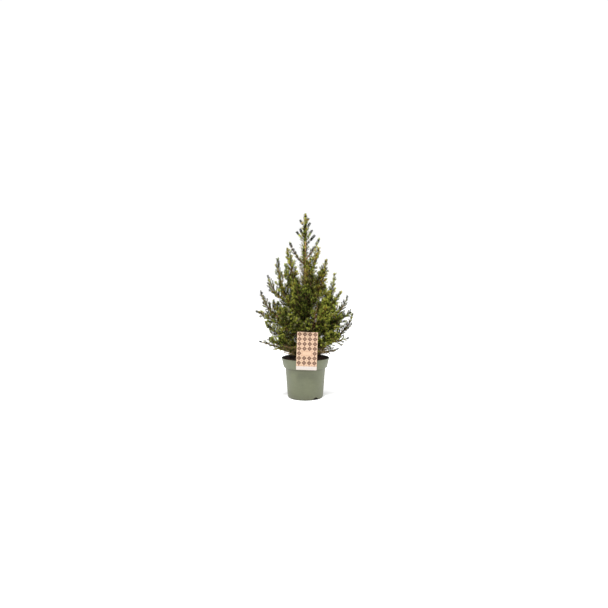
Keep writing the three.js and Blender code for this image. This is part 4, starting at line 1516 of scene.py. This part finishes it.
# %% The trunk
BARK_STEP = 4
TRUNK_SIDES = 18
heights = np.arange(SOIL_TOP + CLEARANCE, TRUNK_TIP, BARK_STEP)
axis = trunk_axis(heights)
radius = trunk_radius(heights)
foot = {"radius": radius[0] * MM, "location": axis[0] * MM}
bpy.ops.mesh.primitive_circle_add(vertices=TRUNK_SIDES, fill_type="NGON", **foot)
trunk = begin("trunk_bark")
for i in range(1, len(heights)):
    bpy.ops.mesh.extrude_region_move(TRANSFORM_OT_translate={"value": (axis[i] - axis[i - 1]) * MM})
    share = radius[i] / radius[i - 1]
    bpy.ops.transform.resize(value=(share, share, 1), center_override=axis[i] * MM)
end()
flaky = trunk.vertex_groups.new(name="flaky")
for vertex in trunk.data.vertices:
    flaky.add([vertex.index], float(np.clip((vertex.co.z / MM - SOIL_TOP - 1) / 6, 0, 1)), "REPLACE")
for scale, strength in ((6, 1.3), (2.2, 0.8)):
    roughen(trunk, scale, strength, vertex_group="flaky")
smooth(trunk, 60)
print("trunk of", len(heights), "rings")

# %% [markdown]
# Bark is grey-brown with orange where the flakes have come away, and the young wood of the twigs is a warm
# tan. The stripes run along the trunk, so the noise is stretched upwards.


# %% Bark and twig finishes
def wood(name, dark, middle, pale, scale, depth):
    made = Finish(name, Roughness=0.85, Specular_IOR_Level=0.25)
    flakes = made.noise(scale, 5, made.stretched((1, 1, 0.35)), 0.65)
    cracks = made.spots(scale * 1.6, made.stretched((1, 1, 0.3)))
    made.colour(made.ramp(flakes, (0.3, dark), (0.5, middle), (0.72, pale)))
    made.bump(flakes + cracks * 0.6, depth)
    return made


bark = wood("trunk bark", "6a5037", "b38a5f", "dcbb8c", 260, 0.0012)
limb_bark = wood("limb bark", "523d2a", "866444", "ad8a60", 420, 0.0007)
young_bark = wood("young twigs", "5c4429", "85653c", "a98a58", 700, 0.0004)
hand_over(trunk, bark, "bark", "trunk")
print("finishes", bark.material.name, "and", limb_bark.material.name, "and", young_bark.material.name)

# %% [markdown]
# The limbs are curves with a round bevel. Each has a row of points with a radius of their own, slightly
# knobbed. They are turned into one mesh and roughened like the trunk.

# %% The limbs
LIMB_POINTS = 34
LIMB_END = 0.985
curve = bpy.data.curves.new("limbs_bark", "CURVE")
curve.dimensions = "3D"
curve.bevel_depth = MM
curve.bevel_resolution = 2
curve.use_fill_caps = True
shares = np.linspace(0, LIMB_END, LIMB_POINTS)
for limb in limbs[:LEADER]:
    spline = curve.splines.new("POLY")
    spline.points.add(LIMB_POINTS - 1)
    knobs = 1 + 0.1 * np.sin(shares * limb["plan"]["run"] * 0.5)
    girth = limb_radius(limb["plan"], shares) * knobs * (1 - 0.45 * shares**3)
    for point, place, radius_here in zip(spline.points, limb["line"](shares) * MM, girth):
        point.co = (*place, 1)
        point.radius = radius_here
limb_wood = bpy.data.objects.new("limbs_bark", curve)
scene.collection.objects.link(limb_wood)
pick(limb_wood)
bpy.ops.object.convert(target="MESH")
limb_wood = bpy.context.object
roughen(limb_wood, 1.6, 0.5)
smooth(limb_wood, 60)
hand_over(limb_wood, limb_bark, "bark", *["bough_" + name for name in BOUGHS])

# %% [markdown]
# ## Twigs, buds and needles from arrays
# There are thousands of twigs and more than two hundred thousand needles, so one of each is described by a
# few corners and arrays place all the copies at once. A twig curves up a little along its length, and its
# root lies inside the wood that carries it.

# %% Twigs
LIFT = 0.1
TWIG_SHARES = (0, 0.55)
TWIG_TAPER = 0.5


def on_twig(rows, share):
    """The points and directions at a share of the chosen twigs."""
    length = twig["length"][rows][:, None]
    share = np.asarray(share)[:, None]
    point = twig["start"][rows] + twig["direction"][rows] * length * share + UP * LIFT * length * share**2
    along = unit(twig["direction"][rows] + UP * 2 * LIFT * share)
    return point, along


def crosswise(along):
    """Two directions across each direction."""
    across = unit(np.cross(along, np.array([0.06, 0.11, 0.99])))
    return across, np.cross(along, across)


def twig_mesh(name):
    """Every twig as a three-sided taper with a closed root and a point."""
    count = len(twig["start"])
    rows = np.arange(count)
    corners = []
    for share in TWIG_SHARES:
        point, along = on_twig(rows, np.full(count, share))
        across, outward = crosswise(along)
        girth = (twig["radius"] * (1 - TWIG_TAPER * share))[:, None]
        for side in range(3):
            angle = 2 * math.pi * side / 3
            corners.append(point + (across * math.cos(angle) + outward * math.sin(angle)) * girth)
    corners.append(on_twig(rows, np.ones(count))[0])
    faces = [(0, 2, 1)]
    for a, b in ((0, 1), (1, 2), (2, 0)):
        faces += [(a, b, a + 3), (b, b + 3, a + 3)]
    faces += [(3, 4, 6), (4, 5, 6), (5, 3, 6)]
    return mesh_of(name, np.stack(corners, 1), faces)


masses = ["foliage_" + limb["name"] for limb in limbs]
hand_over(twig_mesh("twigs"), young_bark, "bark", *masses)

# %% [markdown]
# A bud is a small brown point at the end of a twig, eight faces round a short axis. Every shoot has one,
# and every other twig.

# %% Buds
BUD_SIZES = (2.4, 1.7, 1.2)  # on a limb's end, on a shoot and on a twig


def bud_mesh(name, rows):
    tip, along = on_twig(rows, np.ones(len(rows)))
    across, outward = crosswise(along)
    order = twig["order"][rows]
    size = np.select([order == END_ORDER, order == SHOOT_ORDER], BUD_SIZES[:2], BUD_SIZES[2])[:, None]
    corners = [tip - along * size * 0.6, tip + along * size * 1.5]
    for side in (across, outward, -across, -outward):
        corners.append(tip + along * size * 0.2 + side * size * 0.62)
    faces = []
    for side in range(4):
        a, b = 2 + side, 2 + (side + 1) % 4
        faces += [(0, b, a), (1, a, b)]
    return mesh_of(name, np.stack(corners, 1), faces)


bud_finish = Finish("buds", Roughness=0.6, Specular_IOR_Level=0.4)
bud_finish.colour(bud_finish.ramp(bud_finish.noise(300), (0.3, "46301f"), (0.7, "6e4c2e")))
bud_finish.bump(bud_finish.noise(1500), 0.0003)
budded = np.flatnonzero((twig["order"] != TWIG_ORDER) | (dealt.uniform(size=len(tone)) < 0.5))
hand_over(bud_mesh("buds", budded), bud_finish, "bark", *masses)
print("buds", len(budded))

# %% [markdown]
# A needle is a slim closed wedge of four faces: a keel from root to point, and two shoulders a little
# above it. Needles go round a twig by the golden turn. Near its root they stand out; towards its tip they
# close up and lean forwards. A slight pull upwards keeps the undersides thinner, as on a living spray.

# %% One needle
NEEDLE_LENGTH = 7.4
NEEDLE_WIDTH = 1.35
NEEDLE_THICKNESS = 0.8
NEEDLE_LEAN = (60, 24)  # degrees from the stem, at its root and at its tip
TURN_DRAW = 14
THIN_SCALE = 0.66
FULL_SCALE = 1.15
needle_draw = np.random.default_rng(37)


def needle_rows(base, along, out, share, tones, scale=1.0):
    """Root, direction, width direction, length and tone of needles that leave a stem at base."""
    count = len(base)
    closed = np.where(np.asarray(scale) < 0.8, 0.75, 1)  # short needles lie closer to their stem
    lean_angle = between(*NEEDLE_LEAN, share**2) * closed + needle_draw.normal(0, 7, count)
    direction = leaving(along, out, np.radians(lean_angle)[:, None], 0.16)
    length = NEEDLE_LENGTH * scale * (1 - 0.32 * share**3) * needle_draw.uniform(0.78, 1.1, count)
    return {"base": base, "direction": direction, "out": out, "length": length, "tone": tones}


print("needle", NEEDLE_LENGTH, "by", NEEDLE_WIDTH, "mm")

# %% [markdown]
# How many needles a twig has depends on how open its place is. Some limbs are thin: their needles are few
# and short, but the ends of their shoots carry dark nubs. Some shoots are clothed in clumps. Low down many
# twigs are nearly bare, as the pairs of height and share in DRESSED say.

# %% How many needles
NEEDLES_PER_MM = (0.35, 2.1)
ROPE_NEEDLES_PER_MM = 5.5
WITHERED_NEEDLES_PER_MM = 1.7
FEWEST_NEEDLES = 6
END_NEEDLES = 34
DRESSED = ((150, 0.35), (190, 0.7), (230, 0.95), (260, 1))
THIN_DRESSED = 0.75
WITHERED_DRESSED = 0.85
CLUMP_PITCH = 13


def is_thin(name):
    """Whether a limb's needles are sparse and short."""
    return LIMB_PALETTES.get(name) == "dull"


def in_clump(place):
    """Whether needles stand at these places, in mm, on a shoot that is clothed in clumps."""
    return np.sin(place * 2 * math.pi / CLUMP_PITCH) + needle_draw.uniform(-0.4, 0.9, len(place)) > 0


order = twig["order"]
thin_twig = np.array([is_thin(limb["name"]) for limb in limbs])[twig["owner"]]
counts = np.maximum(FEWEST_NEEDLES, (twig["length"] * between(*NEEDLES_PER_MM, openness)).astype(int))
counts = np.where(order == END_ORDER, END_NEEDLES, counts)
for rows, per_mm in ((order == ROPE_ORDER, ROPE_NEEDLES_PER_MM), (withered, WITHERED_NEEDLES_PER_MM)):
    counts = np.where(rows, (twig["length"] * per_mm).astype(int), counts)
dressed = np.interp(middle[:, 2], *zip(*DRESSED))
dressed = dressed * np.where(thin_twig & (order == TWIG_ORDER), THIN_DRESSED, 1)
dressed = np.where(withered, WITHERED_DRESSED, dressed)
dressed = np.select([order == END_ORDER, order == STEM_ORDER], [1, 0], dressed)
counts = np.where(needle_draw.uniform(size=len(counts)) < dressed, counts, counts // 5)
print("needles on twigs", int(counts.sum()))

# %% [markdown]
# On each twig the older needles at its root are darker and the younger ones at its tip lighter.

# %% Needles on twigs
TWIG_SCALE = 0.82
NUB_SCALE = 0.95
DARK_FROM = 0.72
ROPE_TIP = 0.5


def tone_numbers(*names):
    return np.array([TONES.index(name) for name in names])


OLDER_TONE = tone_numbers("deep", "deep", "deep", "deep", "mid", "deep", "dry")
YOUNGER_TONE = tone_numbers("mid", "fresh", "lime", "lime", "lime", "frost", "dry")


def twig_needles():
    rows = np.repeat(np.arange(len(counts)), counts)
    place = np.arange(len(rows)) - np.repeat(np.cumsum(counts) - counts, counts)
    share = (place + needle_draw.uniform(0, 1, len(rows))) / counts[rows]
    share = 0.1 + 0.9 * share**0.9
    point, along = on_twig(rows, share)
    turn = np.radians(place * GOLDEN_TURN + needle_draw.normal(0, TURN_DRAW, len(rows)))
    out = around(*crosswise(along), turn)
    base = point + out * (twig["radius"][rows] * (1 - TWIG_TAPER * share) * 0.7)[:, None]
    own = tone[rows]
    older = share < needle_draw.uniform(0.35, 0.6, len(rows))
    younger = share > needle_draw.uniform(0.72, 0.88, len(rows))
    tones = np.where(older, OLDER_TONE[own], np.where(younger, YOUNGER_TONE[own], own))
    thin, is_twig = thin_twig[rows], order[rows] == TWIG_ORDER
    is_end, is_rope = order[rows] == END_ORDER, order[rows] == ROPE_ORDER
    dark = ((thin & ~is_twig) | is_rope) & (share > DARK_FROM)
    tones = np.where(dark | (thin & is_end), TONES.index("deep"), tones)
    scale = np.where(is_twig, TWIG_SCALE, 1.0) * np.where(thin, THIN_SCALE, 1.0)
    scale = np.where(thin & (dark | is_end), NUB_SCALE, scale)
    scale = scale * np.where(is_rope | is_end, FULL_SCALE, 1)
    made = needle_rows(base, along, out, np.where(is_rope, share / 2, share), tones, scale)
    kept = ~is_rope | (share > ROPE_TIP) | in_clump(share * twig["length"][rows])
    return {key: value[kept] for key, value in made.items()}


groups = [twig_needles()]
print("kept of them", len(groups[0]["length"]))

# %% [markdown]
# A stem's own needles change their tone in short patches. The ends of the thin limbs and of those beside
# the leader are dark.

# %% Needles on stems
LEADER_PATCH = 6
LIMB_PATCH = 22
DARK_END = 9


def stem_needles(owner, first, radius_at, per_mm, run, line=None):
    """Needles that stand on a limb's own stem, dealt out in short lengths of one tone."""
    limb = limbs[owner]
    is_leader, is_top, thin = owner == LEADER, limb["name"].startswith("top"), is_thin(limb["name"])
    line = line or limb["line"]
    count = int(run * (1 - first) * per_mm)
    share = first + (1 - first) * (np.arange(count) + needle_draw.uniform(0, 1, count)) / count
    along, across, outward = frame_at(line, share, limb["hint"])
    turn = np.radians(np.arange(count) * GOLDEN_TURN + needle_draw.normal(0, TURN_DRAW, count))
    out = around(across, outward, turn)
    base = line(share) + out * (radius_at(share) * 0.8)[:, None]
    stretch = (share * run / (LEADER_PATCH if is_leader else LIMB_PATCH)).astype(int)
    # painted shade: on a limb's stem, patches near the trunk lean to the deep green
    shaded = np.linspace(0 if is_leader else 0.6, 0, stretch.max() + 1)
    tones = deal(np.full(stretch.max() + 1, owner), shaded)[stretch]
    if is_leader or is_top or thin:
        near_end = (1 - share) * run < DARK_END
        tones = np.where(near_end, TONES.index("mid" if is_leader else "deep"), tones)
    clothed = np.full(count, True)
    if is_leader:
        clothed = ~on_bare_side(np.degrees(np.arctan2(out[:, 1], out[:, 0])), base[:, 2])
    age = np.clip((share - 0.7) / 0.3, 0, 1)
    scale = THIN_SCALE if thin else 1.0
    if is_top:
        clothed &= in_clump(share * run) | ((1 - share) * run < CLUMP_PITCH)
        age, scale = age / 2, FULL_SCALE
    rows = needle_rows(base, along, out, age, tones, scale)
    return {key: value[clothed] for key, value in rows.items()}


print("patches of", LIMB_PATCH, "mm, on the leader", LEADER_PATCH)

# %% [markdown]
# The limbs' stems carry needles from where their shoots begin, and the trunk does near its tip, closer
# together on the leader than below it.

# %% All needles on stems
LIMB_NEEDLES_PER_MM = 2.6
TOP_NEEDLES_PER_MM = 5.5
UPPER_NEEDLES_PER_MM = 3.5
LEADER_NEEDLES_PER_MM = 9
CLOTHED_FROM = 420
for owner, limb in enumerate(limbs[:LEADER]):
    p = limb["plan"]
    start = limb["first"] - 0.02
    per_mm = TOP_NEEDLES_PER_MM if limb["name"].startswith("top") else LIMB_NEEDLES_PER_MM
    groups.append(stem_needles(owner, start, lambda share, p=p: limb_radius(p, share), per_mm, p["run"]))


def leader_radius(share):
    return trunk_radius(between(LEADER_FROM, TOTAL_HEIGHT, share))


def upper_trunk(share):
    return trunk_axis(between(CLOTHED_FROM, LEADER_FROM, np.asarray(share, float)))


def upper_radius(share):
    return trunk_radius(between(CLOTHED_FROM, LEADER_FROM, share))


upper_run, leader_run = LEADER_FROM - CLOTHED_FROM, TOTAL_HEIGHT - LEADER_FROM
groups.append(stem_needles(LEADER, 0, upper_radius, UPPER_NEEDLES_PER_MM, upper_run, upper_trunk))
groups.append(stem_needles(LEADER, 0.02, leader_radius, LEADER_NEEDLES_PER_MM, leader_run))
needle = {key: np.concatenate([group[key] for group in groups]) for key in groups[0]}
print("needles in all", len(needle["length"]))

# %% [markdown]
# Needles that would reach into the pot, the label, the trunk or the gap in front are left out, and so are
# those that would stand more than a few millimetres outside the construction's box.

# %% Needles that stay
PAST_BOX = 4
tip = needle["base"] + needle["direction"] * needle["length"][:, None]
low, high = (np.array(corner) / MM for corner in CAD_BOX)
inside_box = ((tip > low - PAST_BOX) & (tip < high + PAST_BOX)).all(1) & (tip[:, 2] < TOTAL_HEIGHT)
kept = off_pot(tip, 3) & (off_trunk(tip) > 0) & inside_box
needle = {key: value[kept] for key, value in needle.items()}
print("needles", len(needle["length"]), "left out", int((~kept).sum()))

# %% [markdown]
# The needles of each tone are joined into pieces of under 200,000 triangles. Their green is a plain base
# colour with a slight drift, a little lighter where the noise is high.

# %% Needle pieces
NEEDLES_IN_PIECE = 49000
NEEDLE_SHOULDER = 0.42


def needle_mesh(name, rows):
    base = needle["base"][rows]
    direction = needle["direction"][rows]
    length = needle["length"][rows][:, None]
    side = unit(np.cross(direction, needle["out"][rows]))
    raised = np.cross(side, direction) * NEEDLE_THICKNESS / 2
    shoulder = base + direction * length * NEEDLE_SHOULDER + raised
    spread = side * NEEDLE_WIDTH / 2
    corners = np.stack([base, base + direction * length, shoulder + spread, shoulder - spread], 1)
    return mesh_of(name, corners, [(0, 1, 2), (0, 3, 1), (0, 2, 3), (1, 3, 2)])


NEEDLE_COLOURS = {
    "deep": ("141c05", "232e0a"),
    "mid": ("495619", "616e22"),
    "fresh": ("6f7c2a", "869237"),
    "olive": ("8f7b26", "a69239"),
    "lime": ("989e3e", "b1b552"),
    "frost": ("787a50", "96966c"),
    "dry": ("6c5c3b", "9f8c60"),
}
for index, name in enumerate(TONES):
    dark, light = NEEDLE_COLOURS[name]
    green = Finish(name + " needles", Roughness=0.7, Specular_IOR_Level=0.05)
    green.colour(green.ramp(green.noise(45), (0.35, dark), (0.65, light)))
    rows = np.flatnonzero(needle["tone"] == index)
    pieces = max(1, math.ceil(len(rows) / NEEDLES_IN_PIECE))
    for part, chosen in enumerate(np.array_split(rows, pieces)):
        piece = needle_mesh(f"needles_{name}_{part + 1}", chosen)
        hand_over(piece, green, "foliage", *masses)
    print(name, "needles", len(rows))
